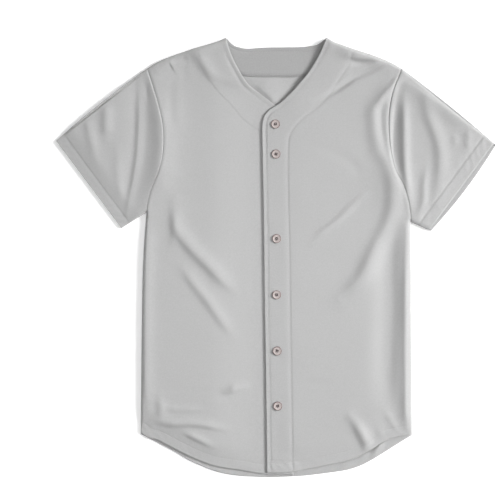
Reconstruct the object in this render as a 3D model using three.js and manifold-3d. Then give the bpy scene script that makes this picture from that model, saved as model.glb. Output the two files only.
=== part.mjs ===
// Baseball top in plain knit, laid flat on its back with the buttoned front side up.
// Millimetres. X runs across the body, Y from hem to neck, Z up from the surface it lies on.
// The wearer's right side lies towards minus X. The origin is under the middle of the whole outline.
import * as THREE from 'three';
import { mergeVertices } from 'three/addons/utils/BufferGeometryUtils.js';
import Module from 'manifold-3d';

const wasm = await Module();
wasm.setup();

// Driving dimensions
const WALL = 1.2; // cloth wall
const SEAM_GAP = 0.3; // between pieces that are sewn or lie on each other
const HEM_STEP = 0.5; // extra height where the hem is turned twice
const FACING_STEP = 0.5; // extra height where a facing lies behind the front
const LOFT = 4.6; // air between the back and the top layer, away from the edges
const EDGE_ROLL = 10; // how far in from a sewn edge the top layer reaches that loft
const HEM_FALL = 42; // how far in from an open edge it does
const BODY_HEM = 16;
const CUFF_HEM = 22;
const FACING_DEPTH = 53; // back neck facing, from the neckline down
const UNDERLAP = 25; // how far the right front runs past the middle, under the left
const TIP_LIFT = 3; // the neck points stand up a little
const TIP_SPREAD = 30;
const BUTTON_DIAMETER = 16;
const BUTTON_HEIGHT = 2.6;
const CLOTH_COLOUR = 0xc4c4c4;
const BUTTON_COLOUR = 0xcdc1be;

// Seams and edges, each a smooth curve through its rows, the lowest value first
const RIGHT = {
  side: -1,
  armhole: [
    { y: 81, x: -233 }, { y: 104, x: -229.5 }, { y: 127, x: -222.5 }, { y: 154, x: -211 },
    { y: 189, x: -203 }, { y: 230, x: -202.5 }, { y: 265, x: -208.5 }, { y: 307, x: -221 },
    { y: 340, x: -231.5 },
  ],
  sideSeam: [{ y: -314, x: -243 }, { y: -100, x: -241 }, { y: 0, x: -238.5 }, { y: 81, x: -233 }],
  shoulder: [
    { x: -231.5, y: 340 }, { x: -212, y: 352 }, { x: -155, y: 373.5 }, { x: -104, y: 388.5 },
    { x: -90, y: 395 },
  ],
  frontEdge: [
    { y: -391, x: 31 }, { y: 0, x: 26 }, { y: 215, x: UNDERLAP }, { y: 240, x: 23.5 },
    { y: 256, x: 15 }, { y: 273.5, x: -2.5 }, { y: 293, x: -27 }, { y: 312, x: -51 },
    { y: 343, x: -70.5 }, { y: 363, x: -80.5 }, { y: 380, x: -86.5 }, { y: 395, x: -90 },
  ],
  facingLine: [
    { y: -391, x: -17 }, { y: 0, x: -22 }, { y: 205, x: -23 }, { y: 229.5, x: -31 },
    { y: 237, x: -43 }, { y: 251, x: -61 }, { y: 273.5, x: -78.5 }, { y: 300, x: -104.5 },
    { y: 335, x: -129 }, { y: 378, x: -141 },
  ],
  hem: [
    { x: -243, y: -314 }, { x: -232, y: -323 }, { x: -214, y: -328 }, { x: -194, y: -338.5 },
    { x: -155, y: -358 }, { x: -113, y: -374.5 }, { x: -65, y: -382.5 }, { x: -19, y: -390 },
    { x: 31, y: -391 },
  ],
  levelAtUnderarm: 78,
  cuffTop: { x: -396, y: 210 },
  cuffBottom: { x: -278.5, y: 53 },
  sleeveBow: 4,
  cuffBow: 0,
  cuffShow: 0,
};
const LEFT = {
  side: 1,
  armhole: [
    { y: 64, x: 242 }, { y: 87, x: 240.5 }, { y: 128, x: 229.5 }, { y: 157, x: 214.5 },
    { y: 205, x: 204.5 }, { y: 252, x: 202.5 }, { y: 294, x: 208.5 }, { y: 340, x: 225.5 },
  ],
  sideSeam: [{ y: -318, x: 244.5 }, { y: -100, x: 243 }, { y: 64, x: 242 }],
  shoulder: [
    { x: 90.5, y: 395 }, { x: 104.5, y: 387 }, { x: 133, y: 377 }, { x: 191, y: 357 },
    { x: 225.5, y: 340 },
  ],
  frontEdge: [
    { y: -387, x: -16 }, { y: -224, x: -18 }, { y: -60, x: -20.5 }, { y: 100, x: -22.5 },
    { y: 224, x: -25 }, { y: 241, x: -24.5 }, { y: 251, x: -22.5 }, { y: 259, x: -18 },
    { y: 267.5, x: -9.5 }, { y: 278, x: 8 }, { y: 300, x: 31 }, { y: 319, x: 47.5 },
    { y: 335, x: 60 }, { y: 355, x: 72.5 }, { y: 375, x: 82.5 }, { y: 395, x: 90.5 },
  ],
  facingLine: [
    { y: -387, x: 31 }, { y: -256, x: 28.5 }, { y: 31, x: 24.5 }, { y: 210, x: 23 },
    { y: 234, x: 33.5 }, { y: 253, x: 52 }, { y: 267, x: 72.5 }, { y: 289, x: 94 },
    { y: 321, x: 115.5 }, { y: 346, x: 131 }, { y: 377, x: 140 },
  ],
  hem: [
    { x: -16, y: -387 }, { x: 18, y: -387 }, { x: 54, y: -380.5 }, { x: 100, y: -370 },
    { x: 151, y: -352.5 }, { x: 190, y: -332 }, { x: 221, y: -322 }, { x: 244.5, y: -318 },
  ],
  levelAtUnderarm: 62,
  cuffTop: { x: 396, y: 203 },
  cuffBottom: { x: 279, y: 48 },
  sleeveBow: 2,
  cuffBow: 3,
  cuffShow: 6,
};
const BACK_NECK = [
  { x: -90, y: 395 }, { x: -77, y: 382.5 }, { x: -67, y: 378.5 }, { x: -51, y: 376 },
  { x: -22, y: 378 }, { x: 42, y: 379 }, { x: 61, y: 380.5 }, { x: 76, y: 384 },
  { x: 90.5, y: 395 },
];
const BACK_HEM = [
  { x: -243, y: -318 }, { x: -182, y: -350 }, { x: -155, y: -366 }, { x: -97, y: -388 },
  { x: -28, y: -395 }, { x: 45, y: -393 }, { x: 104, y: -386 }, { x: 133, y: -381 },
  { x: 162, y: -370 }, { x: 210, y: -341 }, { x: 234, y: -326 }, { x: 244.5, y: -320 },
];

// The largest folds: a soft trough (negative height) or ridge along each route, spread is its half width
const FOLDS = [
  { name: 'right waist ridge', height: 3.6, upper: 16, lower: 8,
    route: [[-184, 98], [-180, 53], [-156, 19], [-128, -10], [-94, -44], [-72, -62]] },
  { name: 'right hip ridge', height: 2.5, upper: 12, lower: 7,
    route: [[-167, -22], [-153, -42], [-124, -78], [-95, -118], [-77, -141]] },
  { name: 'third waist ridge', height: 1.5, upper: 10, lower: 7,
    route: [[-56, -44], [-49, -69], [-29, -112]] },
  { name: 'right armhole swell', height: 4.6, upper: 26, lower: 15,
    route: [[-214, 312], [-209, 266], [-205, 230], [-205, 194], [-212, 143], [-227, 93]] },
  { name: 'right side roll', height: 1.9, upper: 12, lower: 5,
    route: [[-229, 78], [-232, 32], [-234, -76], [-234, -220], [-230, -271]] },
  { name: 'right chest dent', height: -1.7, upper: 6, lower: 6,
    route: [[-189, 312], [-190, 266], [-187, 233]] },
  { name: 'shoulder facing rib', height: 1.6, upper: 12, lower: 6,
    route: [[-135, 370], [-126, 338], [-113, 307]] },
  { name: 'right tail fold', height: 2.2, upper: 9, lower: 4.5,
    route: [[-212, -285], [-191, -294], [-164, -300], [-137, -302], [-103, -309]] },
  { name: 'left armhole ridge', height: 3.4, upper: 12, lower: 17,
    route: [[169, 302], [173, 266], [178, 230], [185, 194], [198, 161], [207, 136]] },
  { name: 'left waist ridge', height: 3.8, upper: 16, lower: 9,
    route: [[209, 111], [209, 82], [198, 50], [178, 14], [158, -30], [137, -53], [121, -68]] },
  { name: 'left underarm swell', height: 2.6, upper: 30, lower: 42,
    route: [[216, 176], [220, 130], [218, 82]] },
  { name: 'left chest diagonal', height: 1.6, upper: 11, lower: 8,
    route: [[155, 116], [131, 87], [97, 57], [58, 22]] },
  { name: 'left shoulder drag', height: -2.2, upper: 8, lower: 9,
    route: [[200, 341], [146, 314], [108, 291], [68, 271]] },
  { name: 'left side trough', height: -3.2, upper: 10, lower: 24,
    route: [[223, 75], [207, 28], [202, -15], [207, -76], [200, -166], [203, -231], [216, -289]] },
  { name: 'left side roll', height: 2.0, upper: 5, lower: 6,
    route: [[234, 57], [232, -76], [232, -256], [234, -300]] },
  { name: 'left tail fold', height: 2.8, upper: 10, lower: 6,
    route: [[135, -276], [146, -294], [158, -318], [173, -343]] },
  { name: 'right sleeve head trough', height: -2.4, upper: 9, lower: 6,
    route: [[-229, 316], [-234, 287], [-238, 251], [-238, 219], [-240, 176], [-250, 132], [-263, 93]] },
  { name: 'right sleeve ridge', height: 2.8, upper: 7, lower: 9,
    route: [[-239, 312], [-244, 284], [-248, 230], [-250, 176], [-259, 122], [-272, 93]] },
  { name: 'right cuff fold', height: 1.8, upper: 11, lower: 8,
    route: [[-338, 248], [-336, 226], [-324, 176]] },
  { name: 'right sleeve fold', height: 2.4, upper: 11, lower: 9,
    route: [[-304, 276], [-306, 248], [-306, 215]] },
  { name: 'left sleeve hollow', height: -3.6, upper: 9, lower: 4.5,
    route: [[225, 305], [218, 269], [215, 240], [214, 208], [216, 179], [221, 150], [230, 122]] },
  { name: 'left sleeve ridge', height: 3.2, upper: 8, lower: 7,
    route: [[230, 287], [230, 262], [231, 212], [232, 161], [236, 129], [241, 93]] },
  { name: 'left sleeve fold', height: 3.2, upper: 14, lower: 10,
    route: [[270, 291], [272, 262], [290, 212], [295, 183], [294, 154], [288, 100]] },
  { name: 'left sleeve low fold', height: 2.1, upper: 7, lower: 7,
    route: [[270, 161], [266, 129], [265, 104], [256, 76]] },
  { name: 'left cuff fold', height: 1.5, upper: 7, lower: 7, route: [[346, 230], [344, 194]] },
  { name: 'left sleeve top swell', height: 2.0, upper: 6, lower: 16,
    route: [[241, 310], [295, 273], [353, 230]] },
];

// Button places down the left front, measured up and down from the origin
const BUTTON_ROWS = [
  { x: -1, y: 240 }, { x: 0, y: 186 }, { x: 1, y: 34 },
  { x: 1, y: -67 }, { x: 2, y: -168 }, { x: 3, y: -267 },
];

const mix = THREE.MathUtils.lerp;
const blend = (value, from, to) => {
  const share = THREE.MathUtils.clamp((value - from) / (to - from), 0, 1);
  return share * share * (3 - 2 * share);
};

// A smooth function through a table: give the known column's value, get the wanted column's
function curveThrough(rows, known, wanted) {
  const at = rows.map((row) => row[known]);
  const got = rows.map((row) => row[wanted]);
  const slope = at.map((_, index) => {
    const before = Math.max(index - 1, 0);
    const after = Math.min(index + 1, at.length - 1);
    return (got[after] - got[before]) / (at[after] - at[before]);
  });
  return (value) => {
    let index = 0;
    while (index < at.length - 2 && value > at[index + 1]) index += 1;
    const span = at[index + 1] - at[index];
    const share = THREE.MathUtils.clamp((value - at[index]) / span, 0, 1);
    const square = share * share;
    const cube = square * share;
    return (2 * cube - 3 * square + 1) * got[index]
      + (cube - 2 * square + share) * span * slope[index]
      + (3 * square - 2 * cube) * got[index + 1]
      + (cube - square) * span * slope[index + 1];
  };
}

for (const half of [RIGHT, LEFT]) {
  half.armholeX = curveThrough(half.armhole, 'y', 'x');
  half.sideX = curveThrough(half.sideSeam, 'y', 'x');
  half.shoulderY = curveThrough(half.shoulder, 'x', 'y');
  half.frontEdgeX = curveThrough(half.frontEdge, 'y', 'x');
  half.facingX = curveThrough(half.facingLine, 'y', 'x');
  half.hemY = curveThrough(half.hem, 'x', 'y');
  half.tip = half.armhole.at(-1);
  half.underarm = half.armhole[0];
  half.neckPoint = half.frontEdge.at(-1);
  half.hemSide = half.sideSeam[0];
  half.hemCentre = half.frontEdge[0];
}
const backNeckY = curveThrough(BACK_NECK, 'x', 'y');
const backHemY = curveThrough(BACK_HEM, 'x', 'y');

// Distance from a point to a route of straight stretches, how far along the route it is, from 0 to 1,
// and its lean: 1 on the route's right or upper side, -1 on the other
function nearest(route, x, y) {
  let best = { distance: Infinity, share: 0, lean: 0 };
  for (let index = 0; index < route.length - 1; index += 1) {
    const [ax, ay] = route[index];
    const [bx, by] = route[index + 1];
    const length = Math.hypot(bx - ax, by - ay);
    const part = ((x - ax) * (bx - ax) + (y - ay) * (by - ay)) / length ** 2;
    const held = THREE.MathUtils.clamp(part, 0, 1);
    const offX = x - mix(ax, bx, held);
    const offY = y - mix(ay, by, held);
    const distance = Math.hypot(offX, offY);
    if (distance < best.distance) {
      const upward = Math.sign(0.87 * (by - ay) - 0.5 * (bx - ax)) / length;
      const lean = (upward * (offX * (by - ay) - offY * (bx - ax))) / Math.max(distance, 1e-6);
      best = { distance, share: (index + held) / (route.length - 1), lean };
    }
  }
  return best;
}

// Sewn edges, where the top layer rolls down to the back, and open ones, where it only sinks
const asRoute = (rows) => rows.map((row) => [row.x, row.y]);
const SEWN_EDGES = [RIGHT, LEFT].flatMap((half) => [
  asRoute(half.shoulder),
  asRoute([half.tip, half.cuffTop]),
  asRoute([half.underarm, half.cuffBottom]),
  asRoute(half.sideSeam),
]);
const OPEN_EDGES = [
  asRoute(RIGHT.hem), asRoute(LEFT.hem),
  asRoute([RIGHT.cuffTop, RIGHT.cuffBottom]), asRoute([LEFT.cuffTop, LEFT.cuffBottom]),
];
const distanceTo = (edges, x, y) => Math.min(...edges.map((edge) => nearest(edge, x, y).distance));

function tipLift(x, y) {
  const spread = (half) => Math.hypot(x - half.neckPoint.x, y - half.neckPoint.y) / TIP_SPREAD;
  return TIP_LIFT * (Math.exp(-(spread(RIGHT) ** 2)) + Math.exp(-(spread(LEFT) ** 2)));
}

// Each fold is steeper on the side with the smaller spread
function foldHeight(x, y) {
  let height = 0;
  for (const fold of FOLDS) {
    const { distance, share, lean } = nearest(fold.route, x, y);
    const spread = mix(fold.lower, fold.upper, 0.5 + 0.5 * lean);
    const fade = 0.3 + 0.7 * blend(share, 0, 0.3) * blend(1 - share, 0, 0.3);
    height += fold.height * fade * Math.exp(-((distance / spread) ** 2));
  }
  return height;
}

const BACK_TOP = WALL;
const LOWEST_UNDER = BACK_TOP + HEM_STEP + SEAM_GAP; // clears the back's turned hem
const NECK_FACING_WALL = 1;
const NECK_FACING_REST = 0.7;
const NECK_CLEARANCE = 1.4; // more, over the back neck facing

// Underside of the top layer, without any step: loft and folds over the back
function layerUnder(x, y) {
  const neckShare = 1 - blend(distanceTo([asRoute(BACK_NECK)], x, y), FACING_DEPTH + 8, FACING_DEPTH + 26);
  const lowest = LOWEST_UNDER + NECK_CLEARANCE * neckShare;
  const inward = THREE.MathUtils.clamp(distanceTo(SEWN_EDGES, x, y) / EDGE_ROLL, 0, 1);
  const roll = Math.sqrt(1 - (1 - inward) ** 2);
  const sink = mix(0.1, 1, blend(distanceTo(OPEN_EDGES, x, y), 0, HEM_FALL));
  const air = LOFT * roll * sink + foldHeight(x, y) * Math.min(roll, sink);
  return lowest + Math.max(air, 0) + tipLift(x, y);
}

// The right front lies low where the left front laps over it
const LAP_START = -66;
const LAP_FLAT = -29;
function rightFrontUnder(x, y) {
  const lap = blend(x, LAP_START, LAP_FLAT) * blend(-y, -330, -284);
  return mix(layerUnder(x, y), LOWEST_UNDER + 0.35, lap);
}

// The left front rests on the right front's underlap, then goes its own way
const LAP_REST = 0.5;
function leftFrontUnder(x, y) {
  const underlapTop = rightFrontUnder(UNDERLAP, y) + WALL + FACING_STEP + HEM_STEP * hemShare(RIGHT, y);
  const lapped = 1 - blend(x, UNDERLAP + 6, UNDERLAP + 30);
  const above = blend(-y, -330, -292);
  const rest = mix(0, underlapTop + LAP_REST, above * lapped);
  const free = mix(layerUnder(x, y), Math.min(layerUnder(x, y), rest + 0.6), above * (1 - blend(x, -20, 46)));
  return Math.max(rest, free);
}
function hemShare(half, y) {
  return blend(half.hemCentre.y - y, -BODY_HEM - 14, -BODY_HEM - 4);
}

// Turns a mesh's faces outwards
function outward(geometry) {
  const { array } = geometry.attributes.position;
  const faces = geometry.index.array;
  const corner = (index) => new THREE.Vector3().fromArray(array, 3 * faces[index]);
  let volume = 0;
  for (let index = 0; index < faces.length; index += 3) {
    volume += corner(index).dot(corner(index + 1).cross(corner(index + 2)));
  }
  if (volume < 0) {
    for (let index = 0; index < faces.length; index += 3) {
      [faces[index], faces[index + 1]] = [faces[index + 1], faces[index]];
    }
  }
  geometry.computeVertexNormals();
  return geometry;
}

function meshGeometry(points, faces) {
  const geometry = new THREE.BufferGeometry();
  geometry.setAttribute('position', new THREE.Float32BufferAttribute(points.flat(), 3));
  geometry.setIndex(faces.flat());
  return outward(geometry);
}

// A closed wall from a grid of places, each with its x, y, top and under height
function sheetGeometry(grid) {
  const across = grid[0].length;
  const flat = grid.flat();
  const points = [...flat.map((p) => [p.x, p.y, p.top]), ...flat.map((p) => [p.x, p.y, p.under])];
  const top = (row, column) => row * across + column;
  const under = (row, column) => flat.length + top(row, column);
  const faces = [];
  const quad = (a, b, c, d) => faces.push([a, b, c], [a, c, d]);
  for (let row = 0; row < grid.length - 1; row += 1) {
    for (let column = 0; column < across - 1; column += 1) {
      quad(top(row, column), top(row + 1, column), top(row + 1, column + 1), top(row, column + 1));
      quad(under(row, column), under(row, column + 1), under(row + 1, column + 1), under(row + 1, column));
    }
    const end = across - 1;
    quad(top(row, 0), under(row, 0), under(row + 1, 0), top(row + 1, 0));
    quad(top(row + 1, end), under(row + 1, end), under(row, end), top(row, end));
  }
  for (let column = 0; column < across - 1; column += 1) {
    const last = grid.length - 1;
    quad(top(0, column + 1), under(0, column + 1), under(0, column), top(0, column));
    quad(top(last, column), under(last, column), under(last, column + 1), top(last, column + 1));
  }
  return meshGeometry(points, faces);
}

// A closed wall round a flattened tube, from rings of outer and inner places
function tubeGeometry(rings) {
  const around = rings[0].outer.length;
  const points = [...rings.flatMap((ring) => ring.outer), ...rings.flatMap((ring) => ring.inner)];
  const outer = (ring, place) => ring * around + (place % around);
  const inner = (ring, place) => rings.length * around + outer(ring, place);
  const faces = [];
  const quad = (a, b, c, d) => faces.push([a, b, c], [a, c, d]);
  for (let place = 0; place < around; place += 1) {
    for (let ring = 0; ring < rings.length - 1; ring += 1) {
      quad(outer(ring, place), outer(ring + 1, place), outer(ring + 1, place + 1), outer(ring, place + 1));
      quad(inner(ring, place), inner(ring, place + 1), inner(ring + 1, place + 1), inner(ring + 1, place));
    }
    const last = rings.length - 1;
    quad(outer(0, place), outer(0, place + 1), inner(0, place + 1), inner(0, place));
    quad(outer(last, place), inner(last, place), inner(last, place + 1), outer(last, place + 1));
  }
  return meshGeometry(points, faces);
}

// Rows down a panel: 0 at the shoulder, 1 at the underarm, 2 at the hem
const ARM_ROWS = 12;
const FRONT_SIDE_ROWS = 20;
const BACK_SIDE_ROWS = 6;
const ROLL_SHARES = [0, 0.012, 0.032, 0.062];
const HEM_SHARE = BODY_HEM / 430;
const STEP_SHARE = 0.005;
const evenly = (count, from, to) => (
  Array.from({ length: count + 1 }, (_, index) => mix(from, to, index / count))
);
const edgeFine = (count) => [
  ...ROLL_SHARES,
  ...evenly(count, ROLL_SHARES.at(-1), 1 - ROLL_SHARES.at(-1)).slice(1, -1),
  ...ROLL_SHARES.map((share) => 1 - share).reverse(),
];
const hemStep = (row) => (row > 2 - HEM_SHARE - STEP_SHARE / 2 ? HEM_STEP : 0);
const armRows = edgeFine(ARM_ROWS);
const panelRows = (count) => [
  ...armRows.slice(0, -1), ...evenly(count, 1, 2 - HEM_SHARE - STEP_SHARE), 2 - HEM_SHARE, 2,
];
const downSide = (half, row) => {
  const y = row < 1 ? mix(half.tip.y, half.underarm.y, row) : mix(half.underarm.y, half.hemSide.y, row - 1);
  return { x: row < 1 ? half.armholeX(y) : half.sideX(y), y };
};
const downFront = (half, row) => {
  const y = row < 1 ? mix(half.neckPoint.y, half.levelAtUnderarm, row)
    : mix(half.levelAtUnderarm, half.hemCentre.y, row - 1);
  return { x: half.frontEdgeX(y), y };
};

// A place in a four-sided patch between its side, its other side and its top and bottom edges
function patchPlace(row, share, side, other, topY, bottomY) {
  const [a, b] = [side(row), other(row)];
  const [topA, topB, bottomA, bottomB] = [side(0), other(0), side(2), other(2)];
  const topX = mix(topA.x, topB.x, share);
  const bottomX = mix(bottomA.x, bottomB.x, share);
  const down = row / 2;
  const bulge = (1 - down) * (topY(topX) - mix(topA.y, topB.y, share))
    + down * (bottomY(bottomX) - mix(bottomA.y, bottomB.y, share));
  return { x: mix(a.x, b.x, share), y: mix(a.y, b.y, share) + bulge };
}

// Columns over a front: fine at the side, then even, then a step up where the facing begins
const FRONT_COLUMNS = 9;
const FACING_COLUMNS = 3;
const STEP_WIDTH = 2;
function frontGrid(half, underAt) {
  const side = (row) => downSide(half, row);
  const edge = (row) => downFront(half, row);
  const place = (row, share) => patchPlace(row, share, side, edge, half.shoulderY, half.hemY);
  return panelRows(FRONT_SIDE_ROWS).map((row) => {
    const width = Math.abs(edge(row).x - side(row).x);
    let facing = 0.7;
    for (let pass = 0; pass < 5; pass += 1) {
      facing = Math.abs(half.facingX(place(row, facing).y) - side(row).x) / width;
    }
    const step = STEP_WIDTH / width;
    const shares = [
      0, 4 / width, 9 / width,
      ...evenly(FRONT_COLUMNS, 16 / width, facing - step),
      ...evenly(FACING_COLUMNS, facing, 1),
    ];
    return shares.map((share) => {
      const { x, y } = place(row, share);
      const under = underAt(x, y);
      const facingStep = share > facing - step / 2 ? FACING_STEP : 0;
      return { x, y, under, top: under + WALL + facingStep + hemStep(row) };
    });
  });
}

const BACK_COLUMNS = { shoulder: 3, neck: 12 };
function backGrid() {
  const left = (row) => downSide(RIGHT, row);
  const right = (row) => downSide(LEFT, row);
  const neckShare = (half) => (half.neckPoint.x - left(0).x) / (right(0).x - left(0).x);
  const topY = (x) => {
    if (x < RIGHT.neckPoint.x) return RIGHT.shoulderY(x);
    return x > LEFT.neckPoint.x ? LEFT.shoulderY(x) : backNeckY(x);
  };
  const shares = [
    ...evenly(BACK_COLUMNS.shoulder, 0, neckShare(RIGHT)).slice(0, -1),
    ...evenly(BACK_COLUMNS.neck, neckShare(RIGHT), neckShare(LEFT)),
    ...evenly(BACK_COLUMNS.shoulder, neckShare(LEFT), 1).slice(1),
  ];
  return panelRows(BACK_SIDE_ROWS).map((row) => shares.map((share) => {
    const { x, y } = patchPlace(row, share, left, right, topY, backHemY);
    const under = tipLift(x, y);
    return { x, y, under, top: under + WALL + hemStep(row) };
  }));
}

const NECK_FACING_COLUMNS = 16;
const NECK_FACING_ROWS = 3;
function neckFacingGrid() {
  const inset = 2;
  const reach = FACING_DEPTH - 10;
  const start = RIGHT.neckPoint.x + inset;
  const end = LEFT.neckPoint.x - inset;
  const outerX = (share) => mix(start - reach, end + reach, share);
  const outerY = (share) => {
    const x = outerX(share);
    const shoulder = x < 0 ? RIGHT.shoulderY(Math.min(x, RIGHT.neckPoint.x))
      : LEFT.shoulderY(Math.max(x, LEFT.neckPoint.x));
    const dip = backNeckY(0) - FACING_DEPTH;
    return mix(dip, shoulder - inset, Math.abs(2 * share - 1) ** 3);
  };
  return evenly(NECK_FACING_ROWS, 0, 1).map((down) => evenly(NECK_FACING_COLUMNS, 0, 1).map((share) => {
    const x = mix(mix(start, end, share), outerX(share), down);
    const y = mix(backNeckY(mix(start, end, share)) - 0.6, outerY(share), down);
    const under = BACK_TOP + NECK_FACING_REST + tipLift(x, y);
    return { x, y, under, top: under + NECK_FACING_WALL };
  }));
}

const SLEEVE_RINGS = 8;
const ARMHOLE_GAP = 0.4;
function sleeveRings(half) {
  const across = new THREE.Vector2(
    half.cuffBottom.x - half.cuffTop.x, half.cuffBottom.y - half.cuffTop.y,
  ).normalize();
  const outwards = new THREE.Vector2(-across.y * half.side, across.x * half.side);
  const start = (share) => {
    const y = mix(half.tip.y, half.underarm.y, share);
    return new THREE.Vector2(half.armholeX(y) + ARMHOLE_GAP * half.side, y);
  };
  const cuff = (share, show) => new THREE.Vector2(
    mix(half.cuffTop.x, half.cuffBottom.x, share), mix(half.cuffTop.y, half.cuffBottom.y, share),
  ).addScaledVector(outwards, half.cuffBow * 4 * share * (1 - share) - show);
  const place = (share, ring, show) => {
    const [from, to] = [start(share), cuff(share, show)];
    const length = from.distanceTo(to);
    const hem = 1 - CUFF_HEM / length;
    const stops = [...evenly(SLEEVE_RINGS, 0, hem - STEP_WIDTH / length), hem, 1];
    const down = stops[ring];
    const bow = half.sleeveBow * 4 * down * (1 - down) * (1 - share) ** 4;
    const point = from.lerp(to, down);
    return { x: point.x, y: point.y + bow, hem: ring > SLEEVE_RINGS };
  };
  const last = armRows.length - 1;
  return Array.from({ length: SLEEVE_RINGS + 3 }, (_, ring) => {
    const upper = armRows.map((share) => place(share, ring, half.cuffShow));
    const lower = armRows.map((share) => place(share, ring, 0));
    const inset = (row, index) => {
      if (index > 0 && index < last) return row[index];
      const next = row[index === 0 ? 1 : last - 1];
      const share = Math.min(WALL / Math.hypot(next.x - row[index].x, next.y - row[index].y), 0.6);
      return { ...row[index], x: mix(row[index].x, next.x, share), y: mix(row[index].y, next.y, share) };
    };
    const topOf = ({ x, y, hem }) => layerUnder(x, y) + WALL + (hem ? HEM_STEP : 0);
    return {
      outer: [...upper.map((p) => [p.x, p.y, topOf(p)]), ...lower.map((p) => [p.x, p.y, 0]).reverse()],
      inner: [
        ...upper.map((p, index) => inset(upper, index)).map((p) => [p.x, p.y, layerUnder(p.x, p.y)]),
        ...lower.map((p, index) => inset(lower, index)).map((p) => [p.x, p.y, WALL]).reverse(),
      ],
    };
  });
}

// Four-hole button: a turned disc with a raised rim and a shallow dish, drilled
const BUTTON_SIDES = 18;
const HOLE_RADIUS = 0.9;
const HOLE_SPACING = 2.9;
function solidOf(geometry) {
  const plain = geometry.clone();
  plain.deleteAttribute('normal');
  plain.deleteAttribute('uv');
  const merged = mergeVertices(plain, 1e-4);
  return new wasm.Manifold(new wasm.Mesh({
    numProp: 3,
    vertProperties: new Float32Array(merged.attributes.position.array),
    triVerts: new Uint32Array(merged.index.array),
  }));
}
function buttonGeometry() {
  const radius = BUTTON_DIAMETER / 2;
  const profile = [
    [0, 0], [radius - 1.6, 0], [radius, 1], [radius, BUTTON_HEIGHT - 0.7], [radius - 0.8, BUTTON_HEIGHT],
    [radius - 2, BUTTON_HEIGHT - 0.1], [radius - 3, BUTTON_HEIGHT - 0.9], [0, BUTTON_HEIGHT - 0.9],
  ].map(([x, y]) => new THREE.Vector2(x, y));
  let button = solidOf(new THREE.LatheGeometry(profile, BUTTON_SIDES).rotateX(Math.PI / 2));
  for (const [x, y] of [[1, 1], [1, -1], [-1, 1], [-1, -1]]) {
    const drill = new THREE.CylinderGeometry(HOLE_RADIUS, HOLE_RADIUS, 3 * BUTTON_HEIGHT, 6)
      .rotateX(Math.PI / 2)
      .translate(x * HOLE_SPACING / 2, y * HOLE_SPACING / 2, 0);
    button = button.subtract(solidOf(drill));
  }
  const mesh = button.getMesh();
  const geometry = new THREE.BufferGeometry();
  geometry.setAttribute('position', new THREE.Float32BufferAttribute(mesh.vertProperties, 3));
  geometry.setIndex([...mesh.triVerts]);
  return outward(geometry);
}

const cloth = new THREE.MeshStandardMaterial({ color: CLOTH_COLOUR, roughness: 0.85, metalness: 0 });
const pearl = new THREE.MeshStandardMaterial({ color: BUTTON_COLOUR, roughness: 0.3, metalness: 0 });

const top = new THREE.Group();
function addPiece(name, geometry, material) {
  const mesh = new THREE.Mesh(geometry, material);
  mesh.name = name;
  top.add(mesh);
  return mesh;
}

addPiece('back', sheetGeometry(backGrid()), cloth);
addPiece('back_neck_facing', sheetGeometry(neckFacingGrid()), cloth);
addPiece('front_right', sheetGeometry(frontGrid(RIGHT, rightFrontUnder)), cloth);
addPiece('front_left', sheetGeometry(frontGrid(LEFT, leftFrontUnder)), cloth);
addPiece('sleeve_right', tubeGeometry(sleeveRings(RIGHT)), cloth);
addPiece('sleeve_left', tubeGeometry(sleeveRings(LEFT)), cloth);

const button = buttonGeometry();
BUTTON_ROWS.forEach(({ x, y }, index) => {
  const reach = BUTTON_DIAMETER / 2;
  const heights = [[0, 0], [reach, 0], [-reach, 0], [0, reach], [0, -reach]]
    .map(([dx, dy]) => leftFrontUnder(x + dx, y + dy) + WALL + FACING_STEP);
  addPiece(`button_${index + 1}`, button, pearl).position.set(x, y, Math.max(...heights) + SEAM_GAP);
});

export default top;
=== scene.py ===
# %% [markdown]
# # A baseball top, laid flat
# The real top is six cuts of knit cloth: a back, two fronts with a facing folded in at the button
# edge, two sleeves, and a facing behind the neck. It lies on its back, so the camera looks straight
# down at the two fronts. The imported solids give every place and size. Each of them is replaced here by
# a finer shell, and the sewing is added.

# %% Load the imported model
import math

import bmesh
import bpy
import numpy as np
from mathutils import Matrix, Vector


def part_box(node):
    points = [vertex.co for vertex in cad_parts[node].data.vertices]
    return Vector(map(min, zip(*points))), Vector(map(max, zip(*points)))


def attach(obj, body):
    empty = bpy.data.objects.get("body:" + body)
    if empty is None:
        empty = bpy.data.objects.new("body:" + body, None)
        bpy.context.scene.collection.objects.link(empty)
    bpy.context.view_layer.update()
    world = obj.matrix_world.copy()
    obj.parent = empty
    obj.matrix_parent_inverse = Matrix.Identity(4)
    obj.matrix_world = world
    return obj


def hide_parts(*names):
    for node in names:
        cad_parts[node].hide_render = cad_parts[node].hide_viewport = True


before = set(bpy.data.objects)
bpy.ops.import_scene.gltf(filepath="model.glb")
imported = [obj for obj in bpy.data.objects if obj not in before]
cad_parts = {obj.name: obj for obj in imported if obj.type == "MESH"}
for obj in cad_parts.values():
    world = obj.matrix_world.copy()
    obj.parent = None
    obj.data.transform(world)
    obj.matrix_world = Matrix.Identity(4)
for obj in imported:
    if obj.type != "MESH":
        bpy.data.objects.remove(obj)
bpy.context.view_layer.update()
print("solids:", sorted(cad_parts))

# %% [markdown]
# ## Sizes
# All lengths are metres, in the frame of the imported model: X across the body, Y from hem to neck,
# Z up. MM turns a size in millimetres into metres, because a tailor thinks in millimetres.

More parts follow.
